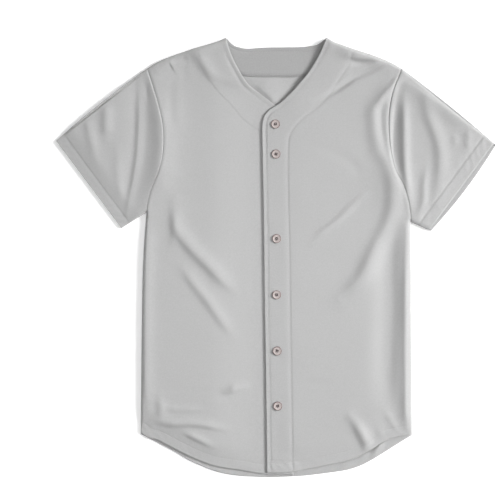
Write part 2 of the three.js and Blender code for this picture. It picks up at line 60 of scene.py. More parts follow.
# %% Sizes of the cloth, the hems and the facings
MM = 0.001
CLOTH = 1.0 * MM
SOLID_WALL = 1.2 * MM
SEAM_GAP = 0.3 * MM
FOLDED_STEP = 0.5 * MM
LOFT = 4.6 * MM
EDGE_ROLL = 10 * MM
HEM_FALL = 42 * MM
FOLD_FALL = 14 * MM
BODY_HEM = 16 * MM
FACING_DEPTH = 53 * MM
UNDERLAP = 25 * MM
TIP_LIFT = 3 * MM
TIP_SPREAD = 30 * MM
LOWEST_UNDER = SOLID_WALL + FOLDED_STEP + SEAM_GAP
NECK_CLEARANCE = 1.3 * MM
NECK_FACING_REST = 0.7 * MM
print("cloth", CLOTH / MM, "mm, body hem", BODY_HEM / MM, "mm")

# %% [markdown]
# ## Edges and seams
# A pattern cutter draws a panel from its edges. Each edge here is a short table of places, and a
# smooth curve goes through them. A table beats a spline object because numpy can read it for
# thousands of points at once.

# %% Smooth curves through short tables
def smooth(values, start, stop):
    """0 before start, 1 after stop, and an even slope between."""
    share = np.clip((np.asarray(values, float) - start) / (stop - start), 0, 1)
    return share * share * (3 - 2 * share)


def curve_through(rows, known, wanted):
    """A function of the known column (0 for X, 1 for Y) that gives the wanted one."""
    table = np.array(rows, float) * MM
    at, got = table[:, known], table[:, wanted]
    before = np.maximum(np.arange(len(at)) - 1, 0)
    after = np.minimum(np.arange(len(at)) + 1, len(at) - 1)
    slope = (got[after] - got[before]) / (at[after] - at[before])

    def value(place):
        place = np.asarray(place, float)
        index = np.clip(np.searchsorted(at, place, side="left") - 1, 0, len(at) - 2)
        span = at[index + 1] - at[index]
        t = np.clip((place - at[index]) / span, 0, 1)
        return (
            (2 * t**3 - 3 * t**2 + 1) * got[index]
            + (t**3 - 2 * t**2 + t) * span * slope[index]
            + (3 * t**2 - 2 * t**3) * got[index + 1]
            + (t**3 - t**2) * span * slope[index + 1]
        )

    return value


# %% The wearer's right half, in millimetres, the lowest value first
RIGHT = {
    "side": -1,
    "armhole": [(-233, 81), (-229.5, 104), (-222.5, 127), (-211, 154), (-203, 189), (-202.5, 230),
                (-208.5, 265), (-221, 307), (-231.5, 340)],
    "side_seam": [(-243, -314), (-241, -100), (-238.5, 0), (-233, 81)],
    "shoulder": [(-231.5, 340), (-212, 352), (-155, 373.5), (-104, 388.5), (-90, 395)],
    "front_edge": [(31, -391), (26, 0), (25, 215), (23.5, 240), (15, 256), (-2.5, 273.5), (-27, 293),
                   (-51, 312), (-70.5, 343), (-80.5, 363), (-86.5, 380), (-90, 395)],
    "facing_line": [(-17, -391), (-22, 0), (-23, 205), (-31, 229.5), (-43, 237), (-61, 251),
                    (-78.5, 273.5), (-104.5, 300), (-129, 335), (-141, 378)],
    "hem": [(-243, -314), (-232, -323), (-214, -328), (-194, -338.5), (-155, -358), (-113, -374.5),
            (-65, -382.5), (-19, -390), (31, -391)],
    "level_at_underarm": 78,
    "cuff_top": (-396, 210),
    "cuff_bottom": (-278.5, 53),
    "sleeve_bow": 4,
    "cuff_bow": 0,
    "cuff_show": (0, 0),
    "cuff_hem": 17 * MM,
    "cuff_drop": (0.2 * MM, 1.2 * MM),
    "seam_depth": 0.25 * MM,
    "sleeve_seam_depth": 0.06 * MM,
    "facing_slope": (-2 * MM, 1 * MM),
    "facing_rise": 0.3,
    "facing_groove": 0.07 * MM,
    "edge_bend": (292 * MM, 312 * MM, 345 * MM, 365 * MM),
}

# %% The wearer's left half, which laps over the right one
LEFT = {
    "side": 1,
    "armhole": [(242, 64), (240.5, 87), (229.5, 128), (214.5, 157), (204.5, 205), (202.5, 252),
                (208.5, 294), (225.5, 340)],
    "side_seam": [(244.5, -318), (243, -100), (242, 64)],
    "shoulder": [(90.5, 395), (104.5, 387), (133, 377), (191, 357), (225.5, 340)],
    "front_edge": [(-16, -387), (-18, -224), (-20.5, -60), (-22.5, 100), (-25, 224), (-24.5, 241),
                   (-22.5, 251), (-18, 259), (-9.5, 267.5), (8, 278), (31, 300), (47.5, 319),
                   (60, 335), (72.5, 355), (82.5, 375), (90.5, 395)],
    "facing_line": [(31, -387), (28.5, -256), (24.5, 31), (23, 210), (33.5, 234), (52, 253),
                    (72.5, 267), (94, 289), (115.5, 321), (131, 346), (140, 377)],
    "hem": [(-16, -387), (18, -387), (54, -381), (85, -375), (134, -364), (150, -357), (165, -348),
            (178, -341), (190, -332.5), (205, -326), (221, -322.3), (244.5, -318)],
    "level_at_underarm": 62,
    "cuff_top": (396, 203),
    "cuff_bottom": (279, 48),
    "sleeve_bow": 2,
    "cuff_bow": 5,
    "cuff_show": (4.1, 2.8),
    "cuff_hem": 22 * MM,
    "cuff_drop": (0.9 * MM, 1.6 * MM),
    "seam_depth": 0.6 * MM,
    "sleeve_seam_depth": 0.6 * MM,
    "facing_slope": (1 * MM, 9 * MM),
    "facing_rise": 1,
    "facing_groove": 0.3 * MM,
    "edge_bend": (140 * MM, 205 * MM, 262 * MM, 290 * MM),
}
BACK_NECK = [(-90, 395), (-77, 382.5), (-67, 378.5), (-51, 376), (-22, 378), (42, 379), (61, 380.5),
             (76, 384), (90.5, 395)]
BACK_HEM = [(-243, -318), (-182, -350), (-155, -366), (-97, -388), (-28, -395), (45, -393),
            (104, -386), (133, -381), (162, -370), (210, -341), (234, -326), (244.5, -320)]
X, Y = 0, 1
for half in (RIGHT, LEFT):
    half["armhole_x"] = curve_through(half["armhole"], Y, X)
    half["side_x"] = curve_through(half["side_seam"], Y, X)
    half["shoulder_y"] = curve_through(half["shoulder"], X, Y)
    half["front_edge_x"] = curve_through(half["front_edge"], Y, X)
    half["facing_x"] = curve_through(half["facing_line"], Y, X)
    half["hem_y"] = curve_through(half["hem"], X, Y)
    half["tip"] = np.array(half["armhole"][-1]) * MM
    half["underarm"] = np.array(half["armhole"][0]) * MM
    half["neck_point"] = np.array(half["front_edge"][-1]) * MM
    half["hem_side"] = np.array(half["side_seam"][0]) * MM
    half["hem_centre"] = np.array(half["front_edge"][0]) * MM
back_neck_y = curve_through(BACK_NECK, X, Y)
back_hem_y = curve_through(BACK_HEM, X, Y)
print("neck opening", (LEFT["neck_point"] - RIGHT["neck_point"])[0] / MM, "mm across")

# %% [markdown]
# ## Folds
# Cloth that was smoothed flat by hand keeps soft drag lines where a seam pulls. The photo shows them
# well, so they are listed one by one. Each row is a route, how far the cloth sinks (minus) or rises
# along it in millimetres, and how wide it is on each side, because a drag line is steep on one side and
# runs out softly on the other. A simulation would give folds of its own, in other places, so it isn't
# used.

# %% Fold rows of the two fronts
# name, height, spread to the right or upper side, spread to the other side, and route
FRONT_FOLDS = [
    ("right waist ridge", 3.6, 16, 8,
     [(-184, 98), (-180, 53), (-156, 19), (-128, -10), (-94, -44), (-72, -62)]),
    ("right hip ridge", 2.5, 12, 7, [(-167, -22), (-153, -42), (-124, -78), (-95, -118), (-77, -141)]),
    ("third waist ridge", 1.5, 10, 7, [(-56, -44), (-49, -69), (-29, -112)]),
    ("swell beside the band", 1.3, 9, 10, [(-29, 197), (-31, 104), (-47, 17), (-56, -30)]),
    ("right armhole swell", 4.6, 26, 15,
     [(-214, 312), (-209, 266), (-205, 230), (-205, 194), (-212, 143), (-227, 93)]),
    ("right side roll", 1.9, 12, 5, [(-229, 78), (-232, 32), (-234, -76), (-234, -220), (-230, -271)]),
    ("right chest dent", -0.5, 7, 7, [(-189, 312), (-190, 266), (-187, 233)]),
    ("right chest rib", 0.6, 9, 8, [(-176, 305), (-176, 266), (-171, 226)]),
    ("right chest arc", -0.7, 10, 10, [(-166, 161), (-130, 183), (-79, 201)]),
    ("shoulder facing rib", 1.9, 12, 9, [(-142, 374), (-133, 354), (-122, 334), (-108, 314)]),
    ("right shoulder dent", -2.2, 5, 8, [(-191, 352), (-173, 356), (-157, 361)]),
    ("right shoulder drag", -0.6, 8, 8, [(-167, 345), (-166, 334), (-164, 320)]),
    ("right tail fold", 3.8, 10, 2.8,
     [(-209, -298), (-194, -301), (-176, -301), (-155, -300), (-128, -303), (-113, -306), (-94, -310)]),
    ("right corner dent", 2.0, 11, 5, [(-210, -251), (-209, -271), (-208, -289)]),
    ("right waist branch", 1.3, 9, 5, [(-182, 82), (-184, 50), (-187, 17)]),
    ("right hem fold", 2.8, 7, 2.7,
     [(-162, -318), (-151, -323), (-140, -328), (-130, -333), (-115, -340)]),
    ("right low line", 1.5, 8, 3, [(-200, -274), (-167, -275), (-137, -274)]),
    ("low crease", 8.0, 9, 3.2, [(-88, -242), (-65, -236), (-41, -230)]),
    ("faint low crease", -0.7, 5, 7, [(-104, -251), (-83, -248)]),
    ("wrinkle by the band", -0.6, 4, 4, [(-43, -318), (-40, -356)]),
    ("second wrinkle by the band", -0.6, 4, 4, [(-32, -307), (-31, -350)]),
    ("left armhole ridge", 3.1, 11, 13,
     [(223, 323), (212, 312), (202, 302), (187, 285), (176, 266), (176, 248), (178, 230), (185, 194),
      (198, 161), (207, 136)]),
    ("left waist ridge", 5.0, 20, 12,
     [(203, 172), (209, 136), (209, 94), (196, 51), (176, 14), (157, -30), (135, -55), (117, -71)]),
    ("left armhole dent", -1.4, 5, 9, [(193, 287), (189, 262), (189, 233), (194, 197)]),
    ("left underarm swell", 2.6, 30, 42, [(216, 176), (220, 130), (218, 82)]),
    ("left chest diagonal", 2.1, 8, 4, [(157, 114), (133, 91), (115, 73), (88, 51), (61, 26)]),
    ("left chest arc", -0.7, 10, 10, [(76, 197), (131, 174), (155, 140)]),
    ("left shoulder dent", -3.2, 3.6, 7, [(128, 354), (140, 353), (155, 351), (169, 351), (196, 352)]),
    ("left shoulder drag", -4.0, 4.6, 6,
     [(198, 349), (184, 343), (158, 332), (138, 321), (117, 307), (103, 298), (72, 280)]),
    ("left armhole drag", 2.4, 8, 5, [(227, 330), (209, 310), (191, 289), (176, 269)]),
    ("left shoulder swell", 4.0, 6, 14, [(104, 381), (137, 368), (173, 356), (205, 343)]),
    ("right shoulder swell", 3.4, 6, 14,
     [(-212, 338), (-187, 354), (-155, 366), (-122, 377), (-97, 384)]),
    ("left side trough", -4.9, 14, 24,
     [(223, 96), (210, 42), (204, -15), (206, -76), (202, -166), (203, -231), (214, -289)]),
    ("left side roll", 2.0, 5, 6, [(234, 57), (232, -76), (232, -256), (234, -300)]),
    ("left tail fold", 4.6, 10, 7, [(133, -287), (148, -307), (158, -327), (167, -346), (171, -356)]),
    ("second left tail fold", 1.3, 6, 5, [(196, -278), (207, -294), (216, -310)]),
    ("third left tail fold", 1.0, 5, 4, [(182, -307), (194, -323)]),
    ("band dip", -0.9, 9, 9, [(-4, -350), (32, -352)]),
    ("band hollow", -0.8, 8, 8, [(-7, -292), (0, -321)]),
    ("faint left crease", -0.6, 7, 7, [(41, -226), (104, -226)]),
]

# %% Fold rows of the two sleeves
SLEEVE_FOLDS = [
    ("right sleeve head trough", -3.4, 14, 26,
     [(-243, 352), (-241, 320), (-238, 289), (-237, 262), (-238, 219), (-241, 176), (-250, 132),
      (-257, 104), (-266, 68)]),
    ("right sleeve ridge", 3.0, 24, 6,
     [(-244, 312), (-245, 276), (-246, 230), (-250, 176), (-259, 122), (-268, 78)]),
    ("right sleeve head nick", -0.9, 3, 4, [(-233, 312), (-232, 298), (-231, 284)]),
    ("right cuff fold", 1.8, 11, 8, [(-338, 248), (-336, 226), (-324, 176)]),
    ("right sleeve fold", 2.4, 11, 9, [(-304, 276), (-306, 248), (-306, 215)]),
    ("faint right sleeve fold", 0.9, 9, 7, [(-286, 194), (-284, 140), (-277, 104)]),
    ("left sleeve hollow", -3.4, 11, 4.5,
     [(222, 305), (215, 269), (212, 240), (211, 208), (213, 179), (220, 150), (229, 122)]),
    ("left sleeve ridge", 3.2, 8, 7,
     [(230, 287), (230, 262), (231, 212), (232, 161), (236, 129), (241, 93)]),
    ("left sleeve fold", 3.2, 14, 10,
     [(270, 291), (272, 262), (290, 212), (295, 183), (294, 154), (288, 100)]),
    ("left sleeve low fold", 2.1, 7, 7, [(270, 161), (266, 129), (265, 104), (256, 76)]),
    ("left cuff fold", 1.5, 7, 7, [(346, 230), (344, 194)]),
    ("second left cuff fold", 0.8, 6, 6, [(322, 222), (320, 201)]),
    ("left sleeve top swell", 2.8, 6, 16, [(241, 310), (295, 273), (353, 230)]),
]
FOLDS = FRONT_FOLDS + SLEEVE_FOLDS
print(len(FOLDS), "folds, the deepest", min(row[1] for row in FOLDS), "mm")

# %% [markdown]
# ## Height of the cloth
# Every panel is a height over the floor at each place. The top layer stands a few millimetres over
# the back, rolls down to it at a sewn edge, sinks at an open hem, and takes the folds. The roll is
# wide along the wearer's left side seam, where the cloth was pushed in, and tight elsewhere. One
# function for the whole garment keeps a sleeve level with its front where they are sewn together.

# %% Distance from many points to a route
def nearest(route, x, y):
    """Distance to a line of straight stretches."""
    best = np.full(np.shape(x), np.inf)
    for (ax, ay), (bx, by) in zip(route, route[1:]):
        dx, dy = bx - ax, by - ay
        part = np.clip(((x - ax) * dx + (y - ay) * dy) / (dx * dx + dy * dy), 0, 1)
        best = np.minimum(best, np.hypot(x - ax - part * dx, y - ay - part * dy))
    return best


def in_metres(rows):
    return np.array(rows, float) * MM


SEWN_EDGES, OPEN_EDGES = [], []
for half in (RIGHT, LEFT):
    SEWN_EDGES += [in_metres(half["shoulder"]), in_metres(half["side_seam"])]
    SEWN_EDGES.append(np.array([half["tip"], in_metres(half["cuff_top"])]))
    SEWN_EDGES.append(np.array([half["underarm"], in_metres(half["cuff_bottom"])]))
    OPEN_EDGES.append(in_metres(half["hem"]))
    OPEN_EDGES.append(in_metres([half["cuff_top"], half["cuff_bottom"]]))


def distance_to(edges, x, y):
    return np.min([nearest(edge, x, y) for edge in edges], axis=0)


# %% Folds, neck points and the even softness of hand-smoothed cloth
def tip_lift(x, y):
    """The stiff faced neck stands up a little at its two points."""
    lift = np.zeros(np.shape(x))
    for half in (RIGHT, LEFT):
        away = np.hypot(x - half["neck_point"][0], y - half["neck_point"][1])
        lift += TIP_LIFT * np.exp(-((away / TIP_SPREAD) ** 2))
    return lift


def smooth_route(rows, steps=5):
    """More places along a route, on a smooth curve through its own."""
    given = in_metres(rows)
    ends = np.vstack([2 * given[0] - given[1], given, 2 * given[-1] - given[-2]])
    share = np.linspace(0, 1, steps, endpoint=False)[:, None]
    parts = []
    for before, start, stop, after in zip(ends, ends[1:], ends[2:], ends[3:]):
        bend = 2 * before - 5 * start + 4 * stop - after
        turn = 3 * start - before - 3 * stop + after
        parts.append(start + 0.5 * share * (stop - before + share * (bend + share * turn)))
    return np.vstack([*parts, given[-1:]])


LIT_SIDE = (0.87, 0.5)
FOLD_END_SHARE = 0.3
FOLD_END_HEIGHT = 0.3


def across_route(route, x, y):
    """Distance to a route, the share along it, and 1 on its right or upper side, -1 on the other."""
    best, along, lean = np.full(np.shape(x), np.inf), np.zeros(np.shape(x)), np.zeros(np.shape(x))
    for index, (start, stop) in enumerate(zip(route, route[1:])):
        step = stop - start
        reach = np.hypot(*step)
        across = np.array([step[1], -step[0]]) / reach
        across = across if across @ LIT_SIDE > 0 else -across
        part = np.clip(((x - start[0]) * step[0] + (y - start[1]) * step[1]) / reach**2, 0, 1)
        off_x, off_y = x - start[0] - part * step[0], y - start[1] - part * step[1]
        distance = np.hypot(off_x, off_y)
        closer = distance < best
        side = (off_x * across[0] + off_y * across[1]) / np.maximum(distance, 1e-7)
        best = np.where(closer, distance, best)
        lean = np.where(closer, side, lean)
        along = np.where(closer, (index + part) / (len(route) - 1), along)
    return best, along, lean


def signed_distance(route, x, y):
    """Distance to a route, below 0 on its left or lower side."""
    distance, _, lean = across_route(route, x, y)
    return distance * np.sign(lean)


def fold_height(folds, x, y):
    """All folds together. Each is steeper on the side with the smaller spread."""
    height = np.zeros(np.shape(x))
    for _, rise, upper, lower, rows in folds:
        distance, share, lean = across_route(smooth_route(rows), x, y)
        spread = (lower + (upper - lower) * (0.5 + 0.5 * lean)) * MM
        ends = smooth(share, 0, FOLD_END_SHARE) * smooth(1 - share, 0, FOLD_END_SHARE)
        fade = FOLD_END_HEIGHT + (1 - FOLD_END_HEIGHT) * ends
        height += rise * MM * fade * np.exp(-((distance / spread) ** 2))
    return height


RIPPLES = [
    # height and wave length in millimetres, direction and start in radians
    (0.10, 97, 0.5, 0.3), (0.06, 58, 2.0, 1.9), (0.03, 31, 1.1, 4.0),
]


def ripple(x, y):
    """Slight unevenness all over, from a few long waves that cross."""
    height = np.zeros(np.shape(x))
    for rise, length, direction, start in RIPPLES:
        across = (x * math.cos(direction) + y * math.sin(direction)) / (length * MM)
        drift = 0.6 * np.sin((y * math.cos(direction) - x * math.sin(direction)) / (2.3 * length * MM))
        height += rise * MM * np.sin(2 * math.pi * (across + drift) + start)
    return height


# %% The top layer's underside over the whole garment
MIDDLE = (-20 * MM, 20 * MM)
PUSHED_IN_END = (120 * MM, 190 * MM)
TIGHT_ROLL = 0.4
HEM_AIR_RIGHT, HEM_AIR_LEFT = 0.1, 0.4
HEM_FOLD_SHARE = 0.25
LEAST_AIR = 0.25 * MM
AIR_BLEND = 0.5 * MM
AIR_DROP = 0.2 * MM


def layer_under(x, y):
    neck_distance = nearest(in_metres(BACK_NECK), x, y)
    neck_share = 1 - smooth(neck_distance, FACING_DEPTH + 8 * MM, FACING_DEPTH + 26 * MM)
    lowest = LOWEST_UNDER + NECK_CLEARANCE * neck_share
    on_left = smooth(x, *MIDDLE)
    pushed_in = on_left * (1 - smooth(y, *PUSHED_IN_END))
    edge_roll = EDGE_ROLL * (TIGHT_ROLL + (1 - TIGHT_ROLL) * pushed_in)
    inward = np.clip(distance_to(SEWN_EDGES, x, y) / edge_roll, 0, 1)
    roll = np.sqrt(np.maximum(1 - (1 - inward) ** 2, 0))
    from_hem = distance_to(OPEN_EDGES, x, y)
    at_hem = HEM_AIR_RIGHT + (HEM_AIR_LEFT - HEM_AIR_RIGHT) * on_left
    sink = at_hem + (1 - at_hem) * smooth(from_hem, 0, HEM_FALL)
    give = np.minimum(roll, HEM_FOLD_SHARE + (1 - HEM_FOLD_SHARE) * smooth(from_hem, 0, FOLD_FALL))
    air = LOFT * roll * sink + (fold_height(FOLDS, x, y) + ripple(x, y)) * give
    air = LEAST_AIR + np.logaddexp(0, (air - LEAST_AIR) / AIR_BLEND) * AIR_BLEND - AIR_DROP
    return lowest + np.maximum(air, 0) + tip_lift(x, y)


LAP_START, LAP_FLAT = -120 * MM, -29 * MM
LAP_AIR = 0.35 * MM
LAP_REST = 0.3 * MM
LAP_CALM = 0.6 * MM


def right_under(x, y):
    """The right front lies low where the left one laps over it."""
    lap = smooth(x, LAP_START, LAP_FLAT) * smooth(-y, -330 * MM, -284 * MM)
    return layer_under(x, y) * (1 - lap) + (LOWEST_UNDER + LAP_AIR) * lap


def left_under(x, y):
    """The left front rests on the underlap and then goes its own way."""
    hem_share = smooth(RIGHT["hem_centre"][1] - y, -BODY_HEM - 14 * MM, -BODY_HEM - 4 * MM)
    underlap_top = right_under(np.full(np.shape(x), UNDERLAP), y) + SOLID_WALL
    underlap_top = underlap_top + FOLDED_STEP * (1 + hem_share)
    lapped = 1 - smooth(x, UNDERLAP + 6 * MM, UNDERLAP + 62 * MM)
    above = smooth(-y, -330 * MM, -292 * MM)
    rest = (underlap_top + LAP_REST) * above * lapped
    free = layer_under(x, y)
    calm = above * (1 - smooth(x, -20 * MM, 46 * MM))
    return np.maximum(rest, free * (1 - calm) + np.minimum(free, rest + LAP_CALM) * calm)


# %% [markdown]
# ## Lines that are sewn
# A line of stitches pulls the cloth down into a narrow groove. Beside a hem the doubled side stays
# stiff and the single side gives, so the groove is steep on one side and gentle on the other. A seam
# does the same with a small ridge of seam allowance beside it. At the camera's distance the groove is
# what shows, so it is in the mesh and not only in the bump.

# %% Grooves and ridges along the sewn lines
STITCH_GROOVE = 1.5 * MM
GROOVE_DEPTH = 0.4 * MM
FACING_STEP = 0.25 * MM
HEM_STEP = 0.35 * MM
EDGE_STITCH_IN = 7 * MM


def groove(distance, depth=GROOVE_DEPTH, spread=STITCH_GROOVE):
    return -depth * np.exp(-((distance / spread) ** 2))


def pulled_line(past, depth, steep=1.3 * MM, gentle=4 * MM):
    """A stitched line that is steep where past is positive and gentle on its other side."""
    return -depth * np.exp(-((past / np.where(past > 0, steep, gentle)) ** 2))


def sampled(function, start, stop, count=120, known=X):
    """Points along one of the curves, evenly spaced in its known column."""
    at = np.linspace(start, stop, count)
    return np.column_stack([at, function(at)] if known == X else [function(at), at])


def offset_line(points, distance):
    """The same line, moved sideways, to the left of its direction when distance is positive."""
    step = np.gradient(points, axis=0)
    step /= np.linalg.norm(step, axis=1)[:, None]
    return points + distance * np.column_stack([-step[:, 1], step[:, 0]])


for half in (RIGHT, LEFT):
    side = half["side"]
    edge = sampled(half["front_edge_x"], half["neck_point"][1], half["hem_centre"][1], 260, Y)
    half["edge_stitch"] = offset_line(edge, side * EDGE_STITCH_IN)[2:-1]
    half["facing_stitch"] = sampled(half["facing_x"], half["facing_line"][-1][1] * MM,
                                    half["hem_centre"][1], 240, Y)
    hem_ends = sorted([half["hem"][0][0] * MM, half["hem"][-1][0] * MM])
    half["hem_line_points"] = sampled(half["hem_y"], hem_ends[0], hem_ends[1])
    half["hem_stitch"] = offset_line(half["hem_line_points"], BODY_HEM)
    half["armhole_line"] = sampled(half["armhole_x"], half["tip"][1], half["underarm"][1], 90, Y)
    across = in_metres(half["cuff_bottom"]) - in_metres(half["cuff_top"])
    across /= np.linalg.norm(across)
    half["cuff_out"] = np.array([-across[1] * side, across[0] * side])
    print("edge stitch", np.round(half["edge_stitch"][0] / MM, 1), "facing to", half["facing_line"][-1])


SEAM_SPREAD = 1.6 * MM
ALLOWANCE_AT = 5 * MM
ALLOWANCE_RISE = 0.2 * MM
ALLOWANCE_SPREAD = 2.2 * MM


def seam_relief(half, x, y, sleeve_side):
    """The armhole seam: both edges turn down into it, and the allowance makes a ridge on the body."""
    distance = nearest(half["armhole_line"], x, y)
    depth = half["sleeve_seam_depth" if sleeve_side else "seam_depth"]
    turned = groove(distance, depth, SEAM_SPREAD)
    if sleeve_side:
        return turned
    return turned - groove(distance - ALLOWANCE_AT, ALLOWANCE_RISE, ALLOWANCE_SPREAD)


PUCKER_HEIGHT = 0.16 * MM
PUCKER_LENGTH = 15 * MM
PUCKER_SLANT = 0.8
PUCKER_SWAY = [
    # size and start in radians, and length in metres
    (1.7, 0, 23 * MM), (0.9, 2, 9.1 * MM),
]


def pucker(along, inward, depth):
    """Slanted waves in a sewn hem, uneven along it and fading past its stitches."""
    sway = sum(size * np.sin(along / length + start) for size, start, length in PUCKER_SWAY)
    wave = np.sin(2 * math.pi * (along + PUCKER_SLANT * inward) / PUCKER_LENGTH + sway)
    amount = 0.55 + 0.45 * np.sin(along / (31 * MM) + 1)
    return amount * wave * -groove(inward - 0.6 * depth, PUCKER_HEIGHT, 0.75 * depth)


def edge_drop(inward, depth=0.35 * MM, reach=1.2 * MM):
    """The folded edge of a hem rounds down over its last millimetre or two."""
    return -depth * np.exp(-((inward / reach) ** 2))


def hem_step(inward, depth, end=1.2 * MM):
    """The doubled cloth of a hem, up to its stitches."""
    return HEM_STEP * (1 - smooth(inward, depth - 0.6 * MM, depth + end))


HEM_GROOVE = 0.38 * MM
EDGE_GROOVE = 0.3 * MM
BEND_GROOVE = 0.45 * MM
EDGE_STEEP = 1.6 * MM


def front_relief(half, x, y):
    """Hem step, facing step and stitch grooves on a front, over its plain surface."""
    hem = nearest(half["hem_line_points"], x, y)
    within = smooth(half["side"] * (half["facing_x"](y) - x), *half["facing_slope"])
    step = hem_step(hem, BODY_HEM) + FACING_STEP * within * half["facing_rise"]
    lines = pulled_line(signed_distance(half["facing_stitch"], x, y), half["facing_groove"])
    lines = lines + pulled_line(hem - BODY_HEM, HEM_GROOVE)
    bend = smooth(y, *half["edge_bend"][:2]) * (1 - smooth(y, *half["edge_bend"][2:]))
    edge_depth = EDGE_GROOVE + BEND_GROOVE * bend
    lines = lines + pulled_line(signed_distance(half["edge_stitch"], x, y), edge_depth, EDGE_STEEP)
    lines = lines + pucker(x, hem, BODY_HEM) + edge_drop(hem)
    return step, lines + seam_relief(half, x, y, False)


# %% [markdown]
# ## Panels as closed shells
# A panel is a grid of places with a top and an underside, closed all round by a rounded rim. Building
# the vertices with numpy keeps every panel exact at its seams, which a remeshed simulation would lose.

# %% Putting pieces in the scene
def put_in_scene(name, data):
    piece = bpy.data.objects.new(name, data)
    bpy.context.scene.collection.objects.link(piece)
    return piece


def plain_mesh(source):
    """The mesh that an object's modifiers make. The object itself is removed."""
    bpy.context.view_layer.update()
    graph = bpy.context.evaluated_depsgraph_get()
    mesh = bpy.data.meshes.new_from_object(source.evaluated_get(graph), depsgraph=graph)
    bpy.data.objects.remove(source)
    return mesh


def finished_mesh(work, mesh):
    """The mesh, filled from the work, with its normals outward."""
    bmesh.ops.recalc_face_normals(work, faces=work.faces)
    work.to_mesh(mesh)
    work.free()
    return mesh


# %% Mesh from a grid of tops and undersides
ROUND_RIM = 0.4 * MM


def rim_push(x, y):
    """How the middle of the rim stands out past the grid's outer ring of places."""
    loop = np.concatenate([
        np.column_stack([x[0], y[0]]),
        np.column_stack([x[1:-1, -1], y[1:-1, -1]]),
        np.column_stack([x[-1, ::-1], y[-1, ::-1]]),
        np.column_stack([x[-2:0:-1, 0], y[-2:0:-1, 0]]),
    ])
    step = np.roll(loop, -1, axis=0) - np.roll(loop, 1, axis=0)
    step /= np.maximum(np.linalg.norm(step, axis=1), 1e-9)[:, None]
    area = np.sum(loop[:, 0] * np.roll(loop[:, 1], -1) - np.roll(loop[:, 0], -1) * loop[:, 1])
    return loop + ROUND_RIM * np.sign(area) * np.column_stack([step[:, 1], -step[:, 0]])


def shell_mesh(name, x, y, top, under):
    """A closed panel. Its cut map is the plan of the panel, for the knit."""
    down, across = x.shape
    count = down * across
    places = np.concatenate([
        np.column_stack([x.ravel(), y.ravel(), top.ravel()]),
        np.column_stack([x.ravel(), y.ravel(), under.ravel()]),
    ])
    index = np.arange(count).reshape(down, across)
    loop = np.concatenate([index[0], index[1:-1, -1], index[-1, ::-1], index[-2:0:-1, 0]])
    middle = (top.ravel()[loop] + under.ravel()[loop]) / 2
    places = np.concatenate([places, np.column_stack([rim_push(x, y), middle])])
    a, b, c, d = index[:-1, :-1], index[1:, :-1], index[1:, 1:], index[:-1, 1:]
    upper = np.stack([a, b, c, d], axis=-1).reshape(-1, 4)
    lower = np.stack([a, d, c, b], axis=-1).reshape(-1, 4) + count
    rim = 2 * count + np.arange(len(loop))
    turn = np.roll(np.arange(len(loop)), -1)
    rim_top = np.column_stack([loop, loop[turn], rim[turn], rim])
    rim_under = np.column_stack([rim, rim[turn], count + loop[turn], count + loop])
    faces = np.concatenate([upper, lower, rim_top, rim_under])
    plan = places[:count, :2]
    return mesh_object(name, places, faces, np.concatenate([plan, plan, plan[loop]]))


def mesh_object(name, places, faces, flat):
    mesh = bpy.data.meshes.new(name)
    mesh.from_pydata(places.tolist(), [], faces.tolist())
    work = bmesh.new()
    work.from_mesh(mesh)
    finished_mesh(work, mesh)
    layer = mesh.uv_layers.new(name="cut")
    corners = np.zeros(len(mesh.loops), int)
    mesh.loops.foreach_get("vertex_index", corners)
    layer.data.foreach_set("uv", flat[corners].astype(np.float32).ravel())
    mesh.shade_smooth()
    print(name, len(places), "points,", len(faces), "faces")
    return put_in_scene(name, mesh)


# %% [markdown]
# ## Where the rows and columns go
# The grid is fine where the cloth turns or is sewn, and wider over the plain middle. Rows are counted
# 0 at the shoulder, 1 at the underarm and 2 at the hem, so the same rows meet along the armhole.

# %% Rows, and places in a four-sided patch
def spread_rows(*stretches):
    """Even steps over each stretch of (start, stop, count), joined without doubles."""
    parts = [np.linspace(start, stop, count, endpoint=False) for start, stop, count in stretches]
    return np.append(np.concatenate(parts), stretches[-1][1])


ARM_ROWS = spread_rows((0, 0.06, 9), (0.06, 0.94, 76), (0.94, 1, 9))
FRONT_ROWS = np.append(ARM_ROWS[:-1], spread_rows((1, 1.94, 118), (1.94, 2, 22)))
BACK_ROWS = np.append(ARM_ROWS[:-1], spread_rows((1, 1.94, 60), (1.94, 2, 16)))


def down_side(half, rows):
    upper = half["tip"][1] + (half["underarm"][1] - half["tip"][1]) * np.minimum(rows, 1)
    lower = (half["hem_side"][1] - half["underarm"][1]) * np.maximum(rows - 1, 0)
    y = upper + lower
    return np.where(rows < 1, half["armhole_x"](y), half["side_x"](y)), y


def down_front(half, rows):
    level = half["level_at_underarm"] * MM
    y = half["neck_point"][1] + (level - half["neck_point"][1]) * np.minimum(rows, 1)
    y = y + (half["hem_centre"][1] - level) * np.maximum(rows - 1, 0)
    return half["front_edge_x"](y), y


def patch(rows, shares, side, other, top_y, bottom_y):
    """Places between a panel's side, its other side, and its top and bottom edges."""
    (ax, ay), (bx, by) = side(rows[:, None]), other(rows[:, None])
    (tax, tay), (tbx, tby) = side(np.array(0.0)), other(np.array(0.0))
    (cax, cay), (cbx, cby) = side(np.array(2.0)), other(np.array(2.0))
    down = rows[:, None] / 2
    top = top_y(tax + (tbx - tax) * shares) - (tay + (tby - tay) * shares)
    bottom = bottom_y(cax + (cbx - cax) * shares) - (cay + (cby - cay) * shares)
    x = ax + (bx - ax) * shares
    y = ay + (by - ay) * shares + (1 - down) * top + down * bottom
    return x, y


# %% Columns of a front: fine at the side, at the facing line and at the front edge
def front_patch(half, shares):
    return patch(FRONT_ROWS, shares, lambda rows: down_side(half, rows),
                 lambda rows: down_front(half, rows), half["shoulder_y"], half["hem_y"])


